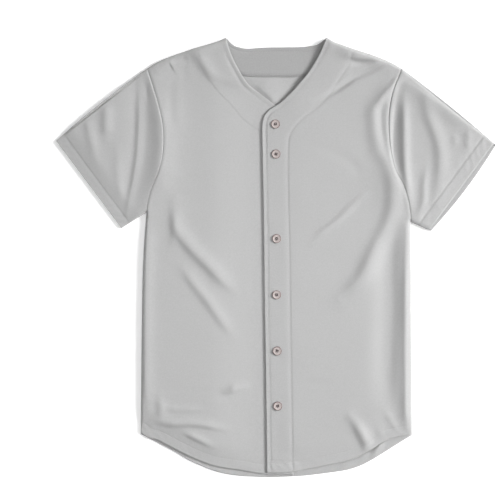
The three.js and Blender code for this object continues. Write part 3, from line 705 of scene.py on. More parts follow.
FIRST_GUESS = 0.7
SIDE_COLUMNS = 16 * MM
FACING_COLUMNS = 5 * MM
EDGE_COLUMNS = 11 * MM


def front_shares(half):
    (side_x, _), (edge_x, edge_y) = down_side(half, FRONT_ROWS), down_front(half, FRONT_ROWS)
    width = np.abs(edge_x - side_x)
    facing = np.full(len(FRONT_ROWS), FIRST_GUESS)
    for _ in range(6):
        _, y = front_patch(half, facing[:, None])
        facing = np.abs(half["facing_x"](y[:, 0]) - side_x) / width
    slant = 1 + 0.45 * smooth(edge_y, 240 * MM, 290 * MM)
    near_side = SIDE_COLUMNS / width
    near_facing, near_edge = FACING_COLUMNS * slant / width, EDGE_COLUMNS * slant / width
    parts = []
    for start, stop, count in (
        (0 * width, near_side, 11),
        (near_side, facing - near_facing, 44),
        (facing - near_facing, facing + near_facing, 11),
        (facing + near_facing, 1 - near_edge, 10),
        (1 - near_edge, 0 * width + 1, 11),
    ):
        steps = np.arange(count) / count
        parts.append(start[:, None] + (stop - start)[:, None] * steps)
    parts.append(np.ones((len(FRONT_ROWS), 1)))
    return np.concatenate(parts, axis=1)


def front_top(half, x, y):
    under = right_under(x, y) if half is RIGHT else left_under(x, y)
    step, lines = front_relief(half, x, y)
    return under + SOLID_WALL + step + lines, CLOTH + step


def build_front(name, half):
    x, y = front_patch(half, front_shares(half))
    top, thick = front_top(half, x, y)
    return shell_mesh(name, x, y, top, top - thick)


front_right = build_front("front_right_cloth", RIGHT)
front_left = build_front("front_left_cloth", LEFT)

# %% [markdown]
# ## Back and neck facing
# The back lies flat on the floor. Its wrong side shows inside the neck and along the hem, which is
# longer behind. The neck facing is a separate curved strip on it, so its sewn lower edge casts a line
# of shadow as the real one does. That edge is turned under once. The facing is coloured a darker grey
# than the back, and the band along that edge a darker grey still.

# %% Back panel
BACK_FOLDS = [
    ("tail fold", 3.2, 8, 2.6, [(189, -331), (182, -342), (173, -357)]),
    ("second tail fold", 1.3, 7, 3.5, [(165, -346), (158, -356), (151, -364)]),
    ("third tail fold", 1.0, 5, 5, [(130, -363), (119, -379)]),
    ("fold under the neck", 2.4, 26, 4, [(-38, 312), (-17, 294.6), (0, 279)]),
]


def build_back():
    neck = [(half["neck_point"][0] - RIGHT["tip"][0]) / (LEFT["tip"][0] - RIGHT["tip"][0])
            for half in (RIGHT, LEFT)]
    shares = spread_rows((0, neck[0], 26), (neck[0], neck[1], 100), (neck[1], 1, 26))

    def top_y(x):
        shoulders = np.where(x < 0, RIGHT["shoulder_y"](x), LEFT["shoulder_y"](x))
        inside = (x >= RIGHT["neck_point"][0]) & (x <= LEFT["neck_point"][0])
        return np.where(inside, back_neck_y(x), shoulders)

    x, y = patch(BACK_ROWS, np.tile(shares, (len(BACK_ROWS), 1)), lambda rows: down_side(RIGHT, rows),
                 lambda rows: down_side(LEFT, rows), top_y, back_hem_y)
    hem_line = sampled(back_hem_y, BACK_HEM[0][0] * MM, BACK_HEM[-1][0] * MM, 160)
    hem = nearest(hem_line, x, y)
    neck_distance = nearest(in_metres(BACK_NECK), x, y)
    step = hem_step(hem, BODY_HEM)
    front_hem = np.where(x < LEFT["hem_centre"][0], RIGHT["hem_y"](x), LEFT["hem_y"](x))
    showing = smooth(front_hem - y, 0, 3 * MM) + smooth(y, 250 * MM, 270 * MM)
    soft = fold_height(BACK_FOLDS, x, y) * showing
    soft = soft + pucker(x, hem, BODY_HEM) * smooth(front_hem - y, 0, 5 * MM)
    under = tip_lift(x, y)
    top = under + SOLID_WALL + step + groove(hem - BODY_HEM, 0.3 * MM) + soft
    return shell_mesh("back_cloth", x, y, top, under)


back = build_back()

# %% Back neck facing
FACING_INSET = 2 * MM
FACING_DOUBLE = 4.5 * MM
LOWER_STITCH_IN = 1.2 * MM
NECK_STITCH_IN = 7 * MM
LINE_SPREAD = 1.1 * MM


def neck_facing_line(down, shares):
    """A line round the facing: down is 0 at the neck edge and 1 at the sewn lower edge."""
    start, stop = RIGHT["neck_point"][0] + FACING_INSET, LEFT["neck_point"][0] - FACING_INSET
    reach = FACING_DEPTH - 10 * MM
    inner_x = start + (stop - start) * shares
    outer_x = start - reach + (stop - start + 2 * reach) * shares
    shoulder = np.where(outer_x < 0, RIGHT["shoulder_y"](np.minimum(outer_x, RIGHT["neck_point"][0])),
                        LEFT["shoulder_y"](np.maximum(outer_x, LEFT["neck_point"][0])))
    dip = back_neck_y(0.0) - FACING_DEPTH
    outer_y = dip + (shoulder - FACING_INSET - dip) * np.abs(2 * shares - 1) ** 4
    inner_y = back_neck_y(inner_x) - 0.6 * MM
    return inner_x + (outer_x - inner_x) * down, inner_y + (outer_y - inner_y) * down


def neck_facing_top(x, y, down):
    under = SOLID_WALL + NECK_FACING_REST + tip_lift(x, y)
    from_lower = (1 - down) * FACING_DEPTH
    lines = groove(from_lower - LOWER_STITCH_IN, GROOVE_DEPTH, LINE_SPREAD)
    lines = lines + groove(from_lower - FACING_DOUBLE, 0.35 * MM, LINE_SPREAD)
    lines = lines + groove(down * FACING_DEPTH - NECK_STITCH_IN)
    return under, under + CLOTH + lines


def build_neck_facing():
    down = spread_rows((0, 0.22, 14), (0.22, 0.85, 12), (0.85, 1, 16))[:, None]
    shares = np.linspace(0, 1, 90)[None, :]
    x, y = neck_facing_line(down, shares)
    under, top = neck_facing_top(x, y, down)
    return shell_mesh("back_neck_facing_cloth", x, y, top, under)


neck_facing = build_neck_facing()

# %% [markdown]
# ## Sleeves
# A sleeve is one cut piece sewn to a tube, pressed flat here. Its rings run round both layers, so the
# fold along the top of the arm is whole cloth. The cuff and the armhole stay open. At the wearer's
# left cuff the upper layer is drawn back a little, so the lower one shows past it.

# %% Sleeve tubes
CUFF_ROWS = 60
ARMHOLE_GAP = 0.4 * MM


def arc(share):
    """A low arch over the shares from 0 to 1, with its top at 1."""
    return 4 * share * (1 - share)


def cuff_line(half, share, back):
    """Places across the open end of a sleeve, drawn back by some distance."""
    top, bottom = in_metres(half["cuff_top"]), in_metres(half["cuff_bottom"])
    bow = half["cuff_bow"] * MM * arc(share) - back
    return top + (bottom - top) * share[:, None] + half["cuff_out"] * bow[:, None]


def sleeve_place(half, share, ring, show):
    """Places for each share across the sleeve and each ring along it, and the distance to the cuff."""
    y = half["tip"][1] + (half["underarm"][1] - half["tip"][1]) * share
    start = np.stack([half["armhole_x"](y) + ARMHOLE_GAP * half["side"], y], axis=-1)
    cuff = cuff_line(half, share, show)
    length = np.linalg.norm(cuff - start, axis=1)
    near = np.minimum(half["cuff_hem"] + 5 * MM, 0.7 * length) / length
    plain = ring[ring <= 1][:, None] * (1 - near)
    fine = (1 - near) + (ring[ring > 1][:, None] - 1) * near
    down = np.concatenate([plain, fine])
    place = start + (cuff - start) * down[..., None]
    lift = half["sleeve_bow"] * MM * arc(down) * (1 - share) ** 4
    return place[..., 0], place[..., 1] + lift, (1 - down) * length


def cuff_show(half, share):
    """How far the lower layer shows past the upper one, for each share across the cuff."""
    top_show, bottom_show = half["cuff_show"]
    show = (top_show + (bottom_show - top_show) * share) * MM
    return show + half["cuff_bow"] * MM * arc(share)


CUFF_GROOVE = 0.55 * MM


def sleeve_top(half, x, y, to_cuff):
    hem = half["cuff_hem"]
    step = hem_step(to_cuff, hem)
    along = x * half["cuff_out"][1] - y * half["cuff_out"][0]
    past_stitches = (to_cuff - hem) * -half["side"]
    lines = pulled_line(past_stitches, CUFF_GROOVE) + pucker(along, to_cuff, hem)
    lines = lines + edge_drop(to_cuff, *half["cuff_drop"])
    top = layer_under(x, y) + SOLID_WALL + step + lines + seam_relief(half, x, y, True)
    return top, CLOTH + step


def tube_mesh(name, outer, inner, cut):
    """A closed wall round a flattened tube, from rings of outer and inner places."""
    rings, around = outer.shape[:2]
    places = np.concatenate([outer.reshape(-1, 3), inner.reshape(-1, 3)])
    index = np.arange(rings * around).reshape(rings, around)
    turned = np.roll(index, -1, axis=1)
    inside = rings * around
    a, b, c, d = index[:-1], index[1:], turned[1:], turned[:-1]
    faces = [np.stack([a, b, c, d], axis=-1).reshape(-1, 4),
             np.stack([a, d, c, b], axis=-1).reshape(-1, 4) + inside]
    for ring in (0, -1):
        first, second = index[ring], turned[ring]
        faces.append(np.column_stack([first, second, inside + second, inside + first]))
    flat = np.concatenate([cut.reshape(-1, 2), cut.reshape(-1, 2)])
    piece = mesh_object(name, places, np.concatenate(faces), flat)
    is_soft = np.ones(len(piece.data.polygons), bool)
    is_soft[-2 * around:-around] = False
    piece.data.polygons.foreach_set("use_smooth", is_soft)
    return piece


def build_sleeve(name, half):
    ring = spread_rows((0, 1, CUFF_ROWS), (1, 1.9, 18), (1.9, 2, 6))
    share = ARM_ROWS
    ux, uy, upper_left = sleeve_place(half, share, ring, cuff_show(half, share))
    lx, ly, lower_left = sleeve_place(half, share, ring, 0.0)
    top, thick = sleeve_top(half, ux, uy, upper_left)
    lower_step = hem_step(lower_left, half["cuff_hem"], 0.8 * MM)

    def pulled_in(values):
        """The inner side of the tube, which turns back before it reaches the fold."""
        inner = values.copy()
        for end, middle, towards in ((0, 1, 3), (-1, -2, -4)):
            inner[:, end] += 0.5 * (values[:, towards] - values[:, end])
            inner[:, middle] = 0.5 * (inner[:, end] + values[:, towards])
        return inner

    outer = np.concatenate([np.stack([ux, uy, top], axis=-1),
                            np.stack([lx, ly, 0 * lx], axis=-1)[:, ::-1]], axis=1)
    inner = np.concatenate([
        np.stack([pulled_in(ux), pulled_in(uy), top - thick], axis=-1),
        np.stack([pulled_in(lx), pulled_in(ly), CLOTH + lower_step * 0.6], axis=-1)[:, ::-1],
    ], axis=1)
    along = half["cuff_out"]
    turn = np.array([along[1], -along[0]])
    cut = np.stack([outer[..., :2] @ turn, outer[..., :2] @ along], axis=-1)
    return tube_mesh(name, outer, inner, cut)


sleeve_right = build_sleeve("sleeve_right_cloth", RIGHT)
sleeve_left = build_sleeve("sleeve_left_cloth", LEFT)

# %% [markdown]
# ## The knit
# The cloth is a fine plain knit: columns of V-shaped loops well under a millimetre wide. The pattern
# comes from each panel's own cut map, so the columns follow the sleeve as they do on a cut piece. It
# is bump with a little painted shade in the colour, darker between the loops and lighter on their
# tops, because real loops at this size would be millions of faces.

# %% Node helpers
def new_material(name, finish):
    """A material, its nodes and its links, with the finish set on the shader's own sockets."""
    material = bpy.data.materials.new(name)
    material.use_nodes = True
    nodes = material.node_tree.nodes
    for socket, value in finish.items():
        nodes["Principled BSDF"].inputs[socket].default_value = value
    return material, nodes, material.node_tree.links


def pattern_node(nodes, links, kind, settings):
    """A pattern over the piece's own coordinates."""
    place, pattern = nodes.new("ShaderNodeTexCoord"), nodes.new(kind)
    for socket, value in settings.items():
        pattern.inputs[socket].default_value = value
    links.new(place.outputs["Object"], pattern.inputs["Vector"])
    return pattern.outputs["Fac"]


def two_tone(name, finish, kind, settings, dark, light, spread=(0, 1)):
    """A material whose colour runs from dark to light over a pattern."""
    material, nodes, links = new_material(name, finish)
    ramp = nodes.new("ShaderNodeValToRGB")
    for element, position, colour in zip(ramp.color_ramp.elements, spread, (dark, light)):
        element.position = position
        element.color = (*colour, 1)
    links.new(pattern_node(nodes, links, kind, settings), ramp.inputs["Fac"])
    links.new(ramp.outputs["Color"], nodes["Principled BSDF"].inputs["Base Color"])
    return material


def math_node(nodes, links, operation, first, second=None, third=None):
    node = nodes.new("ShaderNodeMath")
    node.operation = operation
    for place, value in enumerate((first, second, third)):
        if value is None:
            continue
        if isinstance(value, (int, float)):
            node.inputs[place].default_value = value
        else:
            links.new(value, node.inputs[place])
    return node.outputs[0]


def knit_height(nodes, links, wale, course):
    """Height of the loops, from 0 to 1, over a map in metres."""
    cut = nodes.new("ShaderNodeUVMap")
    cut.uv_map = "cut"
    split = nodes.new("ShaderNodeSeparateXYZ")
    links.new(cut.outputs["UV"], split.inputs[0])
    column = math_node(nodes, links, "DIVIDE", split.outputs["X"], wale)
    row = math_node(nodes, links, "DIVIDE", split.outputs["Y"], course)
    lean = math_node(nodes, links, "PINGPONG", column, 0.5)
    leg = math_node(nodes, links, "MULTIPLY_ADD", lean, 1.5, row)
    loop = math_node(nodes, links, "SINE", math_node(nodes, links, "MULTIPLY", leg, 2 * math.pi))
    rib = math_node(nodes, links, "SINE", math_node(nodes, links, "MULTIPLY", column, 2 * math.pi))
    rib = math_node(nodes, links, "ABSOLUTE", rib)
    both = math_node(nodes, links, "MULTIPLY_ADD", loop, 0.5, rib)
    return math_node(nodes, links, "MULTIPLY_ADD", both, 0.4, 0.2)


# %% Cloth materials
KNIT_FINISH = {"Roughness": 0.82, "Specular IOR Level": 0.3, "Sheen Weight": 0.18, "Sheen Roughness": 0.45}
WALE, COURSE = 0.9 * MM, 0.75 * MM


def knit_material(name, colour):
    material, nodes, links = new_material(name, KNIT_FINISH)
    shader = nodes["Principled BSDF"]
    height = knit_height(nodes, links, WALE, COURSE)
    mottle = pattern_node(nodes, links, "ShaderNodeTexNoise", {"Scale": 420, "Detail": 3})
    # Painted shade: the colour darkens where the loops are low and lightens on their tops. The noise
    # mottle after it is the yarn's own uneven tone.
    painted_loop_shade_and_mottle = math_node(nodes, links, "MULTIPLY_ADD", height, 0.1, 0.95)
    patches = math_node(nodes, links, "MULTIPLY_ADD", mottle, 0.2, 0.9)
    painted_loop_shade_and_mottle = math_node(nodes, links, "MULTIPLY", painted_loop_shade_and_mottle, patches)
    tint = nodes.new("ShaderNodeMix")
    tint.data_type = "RGBA"
    tint.blend_type = "MULTIPLY"
    tint.inputs["Factor"].default_value = 1
    tint.inputs["A"].default_value = (*colour, 1)
    links.new(painted_loop_shade_and_mottle, tint.inputs["B"])
    links.new(tint.outputs["Result"], shader.inputs["Base Color"])
    bump = nodes.new("ShaderNodeBump")
    bump.inputs["Strength"].default_value = 0.5
    bump.inputs["Distance"].default_value = 0.0002
    links.new(height, bump.inputs["Height"])
    links.new(bump.outputs["Normal"], shader.inputs["Normal"])
    return material


knit = knit_material("grey_knit", (0.44, 0.44, 0.44))
# The neck facing is coloured a darker grey than the rest of the knit.
knit_darker_facing = knit_material("grey_knit_wrong_side", (0.375, 0.375, 0.375))
# A band along the facing's turned lower edge is coloured darker still.
knit_darker_hem_band = knit_material("grey_knit_turned_hem", (0.33, 0.33, 0.33))
for piece in (front_right, front_left, sleeve_right, sleeve_left):
    piece.data.materials.append(knit)
back.data.materials.append(knit)
neck_facing.data.materials.append(knit_darker_facing)
neck_facing.data.materials.append(knit_darker_hem_band)
outer_line = np.column_stack(neck_facing_line(1.0, np.linspace(0, 1, 200)))
middles = np.array([face.center for face in neck_facing.data.polygons])
# Faces within FACING_DOUBLE of the facing's lower edge take the darker band grey.
turned = nearest(outer_line, middles[:, X], middles[:, Y]) < FACING_DOUBLE
neck_facing.data.polygons.foreach_set("material_index", turned.astype(int))

# %% Thread material
THREAD_FINISH = {"Roughness": 0.6, "Sheen Weight": 0.1}
TWIST = ("ShaderNodeTexWave", {"Scale": 900})
thread = two_tone("sewing_thread", THREAD_FINISH, *TWIST, (0.36, 0.36, 0.36), (0.5, 0.5, 0.5))
dark_thread = two_tone("button_thread", THREAD_FINISH, *TWIST, (0.05, 0.038, 0.038), (0.1, 0.08, 0.078))

# %% [markdown]
# ## Stitches
# Lockstitch is the same short bar of thread, repeated along a line. Geometry Nodes suit that: the
# tree puts one small bar at every pitch along a curve, turned to follow it, with a slight seeded
# unevenness. Modelling thousands of bars by hand or by a particle system would be harder to change.

# %% The stitch tree
STITCH_PITCH = 3.0 * MM
STITCH_LENGTH = 2.2 * MM
THREAD_RADIUS = 0.24 * MM
STITCH_TURN = (0.02, 0.05, 0.06)
STITCH_SEED = 7


def stitch_tree():
    tree = bpy.data.node_groups.new("stitch_row", "GeometryNodeTree")
    ports = tree.interface
    ports.new_socket("Geometry", in_out="INPUT", socket_type="NodeSocketGeometry")
    for label, kind, value in (
        ("Pitch", "NodeSocketFloat", STITCH_PITCH),
        ("Stitch length", "NodeSocketFloat", STITCH_LENGTH),
        ("Thread radius", "NodeSocketFloat", THREAD_RADIUS),
        ("Seed", "NodeSocketInt", STITCH_SEED),
    ):
        ports.new_socket(label, in_out="INPUT", socket_type=kind).default_value = value
    ports.new_socket("Geometry", in_out="OUTPUT", socket_type="NodeSocketGeometry")
    nodes, links = tree.nodes, tree.links
    given, result = nodes.new("NodeGroupInput"), nodes.new("NodeGroupOutput")
    points = nodes.new("GeometryNodeCurveToPoints")
    points.mode = "LENGTH"
    bar = nodes.new("GeometryNodeMeshUVSphere")
    bar.inputs["Segments"].default_value = 6
    bar.inputs["Rings"].default_value = 4
    bar.inputs["Radius"].default_value = 1
    half_length = math_node(nodes, links, "MULTIPLY", given.outputs["Stitch length"], 0.5)
    size = nodes.new("ShaderNodeCombineXYZ")
    align = nodes.new("FunctionNodeAlignRotationToVector")
    align.axis = "X"
    jitter = nodes.new("FunctionNodeRandomValue")
    jitter.data_type = "FLOAT_VECTOR"
    jitter.inputs[0].default_value = [-turn for turn in STITCH_TURN]
    jitter.inputs[1].default_value = STITCH_TURN
    place = nodes.new("GeometryNodeInstanceOnPoints")
    real, smooth_bar = nodes.new("GeometryNodeRealizeInstances"), nodes.new("GeometryNodeSetShadeSmooth")
    finish = nodes.new("GeometryNodeSetMaterial")
    finish.inputs["Material"].default_value = thread
    rotate = nodes.new("FunctionNodeRotateRotation")
    rotate.rotation_space = "LOCAL"
    for start, stop in (
        (given.outputs["Geometry"], points.inputs["Curve"]),
        (given.outputs["Pitch"], points.inputs["Length"]),
        (points.outputs["Tangent"], align.inputs["Vector"]),
        (align.outputs["Rotation"], rotate.inputs["Rotation"]),
        (given.outputs["Seed"], jitter.inputs["Seed"]),
        (jitter.outputs[0], rotate.inputs["Rotate By"]),
        (half_length, size.inputs["X"]),
        (given.outputs["Thread radius"], size.inputs["Y"]),
        (given.outputs["Thread radius"], size.inputs["Z"]),
        (points.outputs["Points"], place.inputs["Points"]),
        (bar.outputs["Mesh"], place.inputs["Instance"]),
        (rotate.outputs["Rotation"], place.inputs["Rotation"]),
        (size.outputs["Vector"], place.inputs["Scale"]),
        (place.outputs["Instances"], real.inputs["Geometry"]),
        (real.outputs["Geometry"], smooth_bar.inputs["Geometry"]),
        (smooth_bar.outputs["Geometry"], finish.inputs["Geometry"]),
        (finish.outputs["Geometry"], result.inputs["Geometry"]),
    ):
        links.new(start, stop)
    return tree


stitches = stitch_tree()
print("stitch tree inputs:", [item.name for item in stitches.interface.items_tree])

# %% Turning paths into stitch pieces
def sew(name, paths):
    """One mesh of stitches along several paths, each an array of points in space."""
    curve = bpy.data.curves.new(name, "CURVE")
    curve.dimensions = "3D"
    for path in paths:
        line = curve.splines.new("POLY")
        line.points.add(len(path) - 1)
        line.points.foreach_set("co", np.column_stack([path, np.ones(len(path))]).ravel())
    guide = put_in_scene(name + "_guide", curve)
    modifier = guide.modifiers.new("stitches", "NODES")
    modifier.node_group = stitches
    inputs = {item.name: item.identifier for item in stitches.interface.items_tree
              if item.item_type == "SOCKET" and item.in_out == "INPUT"}
    modifier[inputs["Pitch"]] = STITCH_PITCH
    mesh = plain_mesh(guide)
    mesh.name = name
    print(name, len(mesh.polygons), "faces")
    return put_in_scene(name, mesh)


PROUD = 0.12 * MM


def on_front(half, line):
    top, _ = front_top(half, line[:, 0], line[:, 1])
    return np.column_stack([line, top + PROUD])


def front_paths(half):
    inside_hem = half["edge_stitch"][half["edge_stitch"][:, 1] > half["hem_centre"][1] + 1 * MM]
    return [on_front(half, inside_hem), on_front(half, half["facing_stitch"][2:-2]),
            on_front(half, half["hem_stitch"][3:-3])]


stitches_front_right = sew("stitches_front_right", front_paths(RIGHT))
stitches_front_left = sew("stitches_front_left", front_paths(LEFT))

# %% Cuff and neck stitches
def cuff_path(half):
    share = np.linspace(0.02, 0.98, 80)
    line = cuff_line(half, share, cuff_show(half, share) + half["cuff_hem"])
    height, _ = sleeve_top(half, line[:, 0], line[:, 1], np.full(len(line), half["cuff_hem"]))
    return np.column_stack([line, height + PROUD])


def neck_facing_paths():
    shares = np.linspace(0.02, 0.98, 120)
    paths = []
    for depth in (NECK_STITCH_IN, FACING_DEPTH - FACING_DOUBLE, FACING_DEPTH - LOWER_STITCH_IN):
        down = depth / FACING_DEPTH
        x, y = neck_facing_line(down, shares)
        _, top = neck_facing_top(x, y, down)
        paths.append(np.column_stack([x, y, top + PROUD]))
    return paths


stitches_sleeve_right = sew("stitches_sleeve_right", [cuff_path(RIGHT)])
stitches_sleeve_left = sew("stitches_sleeve_left", [cuff_path(LEFT)])
stitches_neck = sew("stitches_neck", neck_facing_paths())

# %% [markdown]
# ## Buttons
# Each button is a turned disc with a raised rim, a shallow dish and four drilled holes, sewn on in a
# square with dark thread. A profile spun round the axis gives the disc. The holes are cut with a
# boolean, because they must let the dark show through. The rounded outer rim and the walls of the
# holes are painted dark brown, as painted shade. Each button rests on the cloth under it.

# %% Button materials
PEARL_FINISH = {"Roughness": 0.42, "Coat Weight": 0.15, "Coat Roughness": 0.3}
PEARL_CLOUD = {"Scale": 260, "Detail": 4, "Distortion": 1.4}
pearl = two_tone("button_pearl", PEARL_FINISH, "ShaderNodeTexNoise", PEARL_CLOUD,
                 (0.39, 0.335, 0.325), (0.52, 0.46, 0.445), spread=(0.3, 0.7))
# Painted shade: a dark brown for the rounded outer rim, where its side turns from the light, and for the
# walls of the holes, where shade falls.
painted_button_shade = two_tone("button_rim", {"Roughness": 0.3}, "ShaderNodeTexNoise", {"Scale": 300},
                     (0.1, 0.06, 0.055), (0.24, 0.16, 0.15))

# %% Button shape
BUTTON_RADIUS = 8 * MM
HOLE_RADIUS = 1.1 * MM
HOLE_SPACING = 3.2 * MM
BUTTON_PROFILE = [
    # radius and height in millimetres, from the underside out, over the rim and into the dish
    (0, 0), (6.0, 0), (7.2, 0.2), (7.8, 0.5), (8.0, 0.9), (7.9, 1.3), (7.5, 1.6), (7.0, 1.7),
    (6.5, 1.63), (6.1, 1.47), (5.6, 1.35), (4.6, 1.3), (3.6, 1.27), (0, 1.25),
]
BUTTON_SIDES = 48


def skin(work, rings):
    """Faces between each ring of points and the next. A pole is one point, repeated."""
    for lower, upper in zip(rings, rings[1:]):
        for step in range(len(lower)):
            following = (step + 1) % len(lower)
            corners = [lower[step], lower[following], upper[following], upper[step]]
            work.faces.new(list(dict.fromkeys(corners)))


def circle(work, radius, height):
    if radius == 0:
        return [work.verts.new((0, 0, height))] * BUTTON_SIDES
    angles = [2 * math.pi * step / BUTTON_SIDES for step in range(BUTTON_SIDES)]
    return [work.verts.new((radius * math.cos(a), radius * math.sin(a), height)) for a in angles]


def spun_disc():
    work = bmesh.new()
    skin(work, [circle(work, radius * MM, height * MM) for radius, height in BUTTON_PROFILE])
    return finished_mesh(work, bpy.data.meshes.new("button_disc"))


def drilled(mesh):
    disc = put_in_scene("disc", mesh)
    drills = bmesh.new()
    for x, y in ((1, 1), (1, -1), (-1, 1), (-1, -1)):
        made = bmesh.ops.create_cone(drills, cap_ends=True, segments=16, radius1=HOLE_RADIUS,
                                     radius2=HOLE_RADIUS, depth=8 * MM)
        centre = (x * HOLE_SPACING / 2, y * HOLE_SPACING / 2, 0)
        bmesh.ops.translate(drills, verts=made["verts"], vec=centre)
    drill = put_in_scene("drills", finished_mesh(drills, bpy.data.meshes.new("drills")))
    cutter = disc.modifiers.new("holes", "BOOLEAN")
    cutter.object, cutter.operation, cutter.solver = drill, "DIFFERENCE", "EXACT"
    result = plain_mesh(disc)
    bpy.data.objects.remove(drill)
    return result


disc_mesh = drilled(spun_disc())
disc_mesh.materials.clear()
disc_mesh.materials.append(pearl)
disc_mesh.materials.append(painted_button_shade)
RIM_START = 7.1 * MM
HOLES_START, HOLES_STOP = 0.8 * MM, 3.6 * MM
FLAT_DISH = 2.9 * MM
# Painted shade: faces on the rounded outer rim and on the hole walls take the dark brown, and the rest
# take the pearl.
for face in disc_mesh.polygons:
    reach = math.hypot(face.center.x, face.center.y)
    in_hole = HOLES_START < reach < HOLES_STOP and abs(face.normal.z) < 0.5
    face.material_index = 1 if reach > RIM_START or in_hole else 0
    face.use_smooth = reach > FLAT_DISH
print("button faces:", len(disc_mesh.polygons))

# %% Placing the buttons, with their thread
BAR_RADIUS = 0.42 * MM
BAR_SHIFT = 0.3 * MM
BAR_LEVEL = 1.25 * MM
BAR_ARCH = 0.35 * MM
BAR_DIP = 0.9 * MM
BAR_SIDES = 8
THREAD_REST = 0.05 * MM


def bar_between(work, start, stop):
    """A short arched bar of thread between two holes, with its ends down in them."""
    start, stop = np.array(start), np.array(stop)
    along = (stop - start) / np.linalg.norm(stop - start)
    across, up = np.array([-along[1], along[0], 0]), np.array([0, 0, 1])
    rings = []
    for share in np.linspace(0, 1, 7):
        centre = start + (stop - start) * share + np.array([0, 0, BAR_ARCH * math.sin(math.pi * share)])
        centre[2] -= BAR_DIP * (abs(2 * share - 1) ** 6)
        angles = [2 * math.pi * step / BAR_SIDES for step in range(BAR_SIDES)]
        rings.append([work.verts.new(centre + BAR_RADIUS * (across * math.cos(a) + up * math.sin(a)))
                      for a in angles])
    skin(work, rings)
    work.faces.new(rings[0])
    work.faces.new(rings[-1][::-1])


def button_thread(name):
    work = bmesh.new()
    reach = HOLE_SPACING / 2
    for side in (-reach, reach):
        for place in (side - BAR_SHIFT, side + BAR_SHIFT):
            bar_between(work, (-reach, place, BAR_LEVEL), (reach, place, BAR_LEVEL))
            bar_between(work, (place, -reach, BAR_LEVEL), (place, reach, BAR_LEVEL))
    mesh = finished_mesh(work, bpy.data.meshes.new(name))
    mesh.materials.append(dark_thread)
    mesh.shade_smooth()
    return mesh


buttons, button_threads = [], []
TURNS = np.linspace(0, 2 * math.pi, 24, endpoint=False)
ROUND = np.column_stack([np.cos(TURNS), np.sin(TURNS)])
BUTTON_SPOTS = np.vstack([reach * ROUND for reach in (0, 0.5, 0.95)])
BUTTON_NODES = sorted(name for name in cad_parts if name.startswith("button_"))
BUTTON_TURNS = [0.12, -0.2, 0.35, 0.05, -0.3, 0.22]
for node, turn in zip(BUTTON_NODES, BUTTON_TURNS):
    low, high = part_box(node)
    middle = np.array([(low.x + high.x) / 2, (low.y + high.y) / 2])
    under_it = middle + BUTTON_RADIUS * BUTTON_SPOTS
    rest = front_top(LEFT, under_it[:, X], under_it[:, Y])[0].max() + THREAD_REST
    print(node, "rests at", round(rest / MM, 2), "mm, packed at", round(low.z / MM, 2), "mm")
    place = (*middle, rest)
    for source, kept, suffix in ((disc_mesh, buttons, "_disc"),
                                 (button_thread(node + "_thread"), button_threads, "_thread")):
        mesh = source.copy()
        spin = np.array([[math.cos(turn), -math.sin(turn)], [math.sin(turn), math.cos(turn)]])
        points = np.zeros(len(mesh.vertices) * 3)
        mesh.vertices.foreach_get("co", points)
        points = points.reshape(-1, 3)
        points[:, :2] = points[:, :2] @ spin.T
        points += place
        mesh.vertices.foreach_set("co", points.ravel())
        kept.append(put_in_scene(node + suffix, mesh))
print("buttons:", [piece.name for piece in buttons])

# %% [markdown]
# ## Floor, lights and camera
# The top lies on a plain pale floor that glows a little, as a studio light table does, so the shadows
# on it stay faint. A low soft light from the right draws the folds. A broad one beyond the neck, a
# small one over the buttons and a weak one below the hem open the shadows. The first three shine in
# narrow cones, aimed at the body. The camera looks straight down through a long lens.

# %% Floor
FLOOR_FINISH = {
    "Base Color": (0.88, 0.88, 0.88, 1),
    "Emission Color": (1, 1, 1, 1),
    "Emission Strength": 0.28,
    "Roughness": 0.9,
    "Specular IOR Level": 0.2,
}
FLOOR_WIDTH, FLOOR_DROP = 14, 0.3 * MM
bpy.ops.mesh.primitive_plane_add(size=FLOOR_WIDTH, location=(0, 0, -FLOOR_DROP))
floor = bpy.context.object
floor.name = "floor"
floor.data.materials.append(new_material("pale_floor", FLOOR_FINISH)[0])

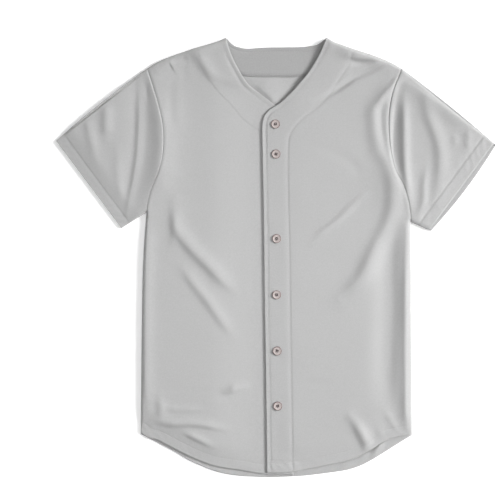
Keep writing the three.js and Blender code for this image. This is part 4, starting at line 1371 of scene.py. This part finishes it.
# %% Lights
def soft_light(name, place, size, power, spread=180, aim_y=0.0):
    data = bpy.data.lights.new(name, "AREA")
    data.shape = "SQUARE"
    data.size = size
    data.energy = power
    data.spread = math.radians(spread)
    lamp = put_in_scene(name, data)
    lamp.location = place
    direction = Vector((0, aim_y, 0)) - Vector(place)
    lamp.rotation_euler = direction.to_track_quat("-Z", "Y").to_euler()


soft_light("key_light", (5.9, 1.5, 3.2), 2.0, 46, 44, -0.25)
soft_light("upper_light", (-1.2, 8.0, 5.2), 5.0, 14, 40, -0.6)
soft_light("middle_light", (0.2, -0.4, 3.6), 0.4, 0.3, 24)
soft_light("lower_light", (0.5, -4.2, 4.6), 3.0, 75)
world = bpy.data.worlds.new("studio")
world.use_nodes = True
background = world.node_tree.nodes["Background"]
background.inputs["Color"].default_value = (1, 1, 1, 1)
background.inputs["Strength"].default_value = 0.24
bpy.context.scene.world = world
bpy.context.scene.view_settings.view_transform = "Standard"

# %% Camera, straight above, framed as in the photo
FRAME_WIDTH = 0.9
LENS, SENSOR = 100, 36
CAMERA_X, CAMERA_Y = -0.0468, 0.0135
CLOTH_LEVEL = 0.004
camera_data = bpy.data.cameras.new("camera")
camera_data.lens = LENS
camera_data.sensor_width = SENSOR
camera = put_in_scene("camera", camera_data)
camera.location = (CAMERA_X, CAMERA_Y, FRAME_WIDTH * LENS / SENSOR + CLOTH_LEVEL)
bpy.context.scene.camera = camera
print("camera height", round(camera.location.z, 3), "m")

# %% [markdown]
# ## Putting each piece on the body
# Every piece rides on the one body, and hides the plain solid that it stands for.

# %% Riding and replacing
def place_piece(piece, slot, *nodes):
    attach(piece, "root")
    if nodes:
        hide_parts(*nodes)


place_piece(front_right, "knit", "front_right")
place_piece(front_left, "knit", "front_left")
place_piece(back, "knit", "back")
place_piece(neck_facing, "knit", "back_neck_facing")
place_piece(sleeve_right, "knit", "sleeve_right")
place_piece(sleeve_left, "knit", "sleeve_left")
for piece in (stitches_front_right, stitches_front_left, stitches_sleeve_right, stitches_sleeve_left,
              stitches_neck, *button_threads):
    place_piece(piece, "thread")
for piece, node in zip(buttons, BUTTON_NODES):
    place_piece(piece, "button", node)
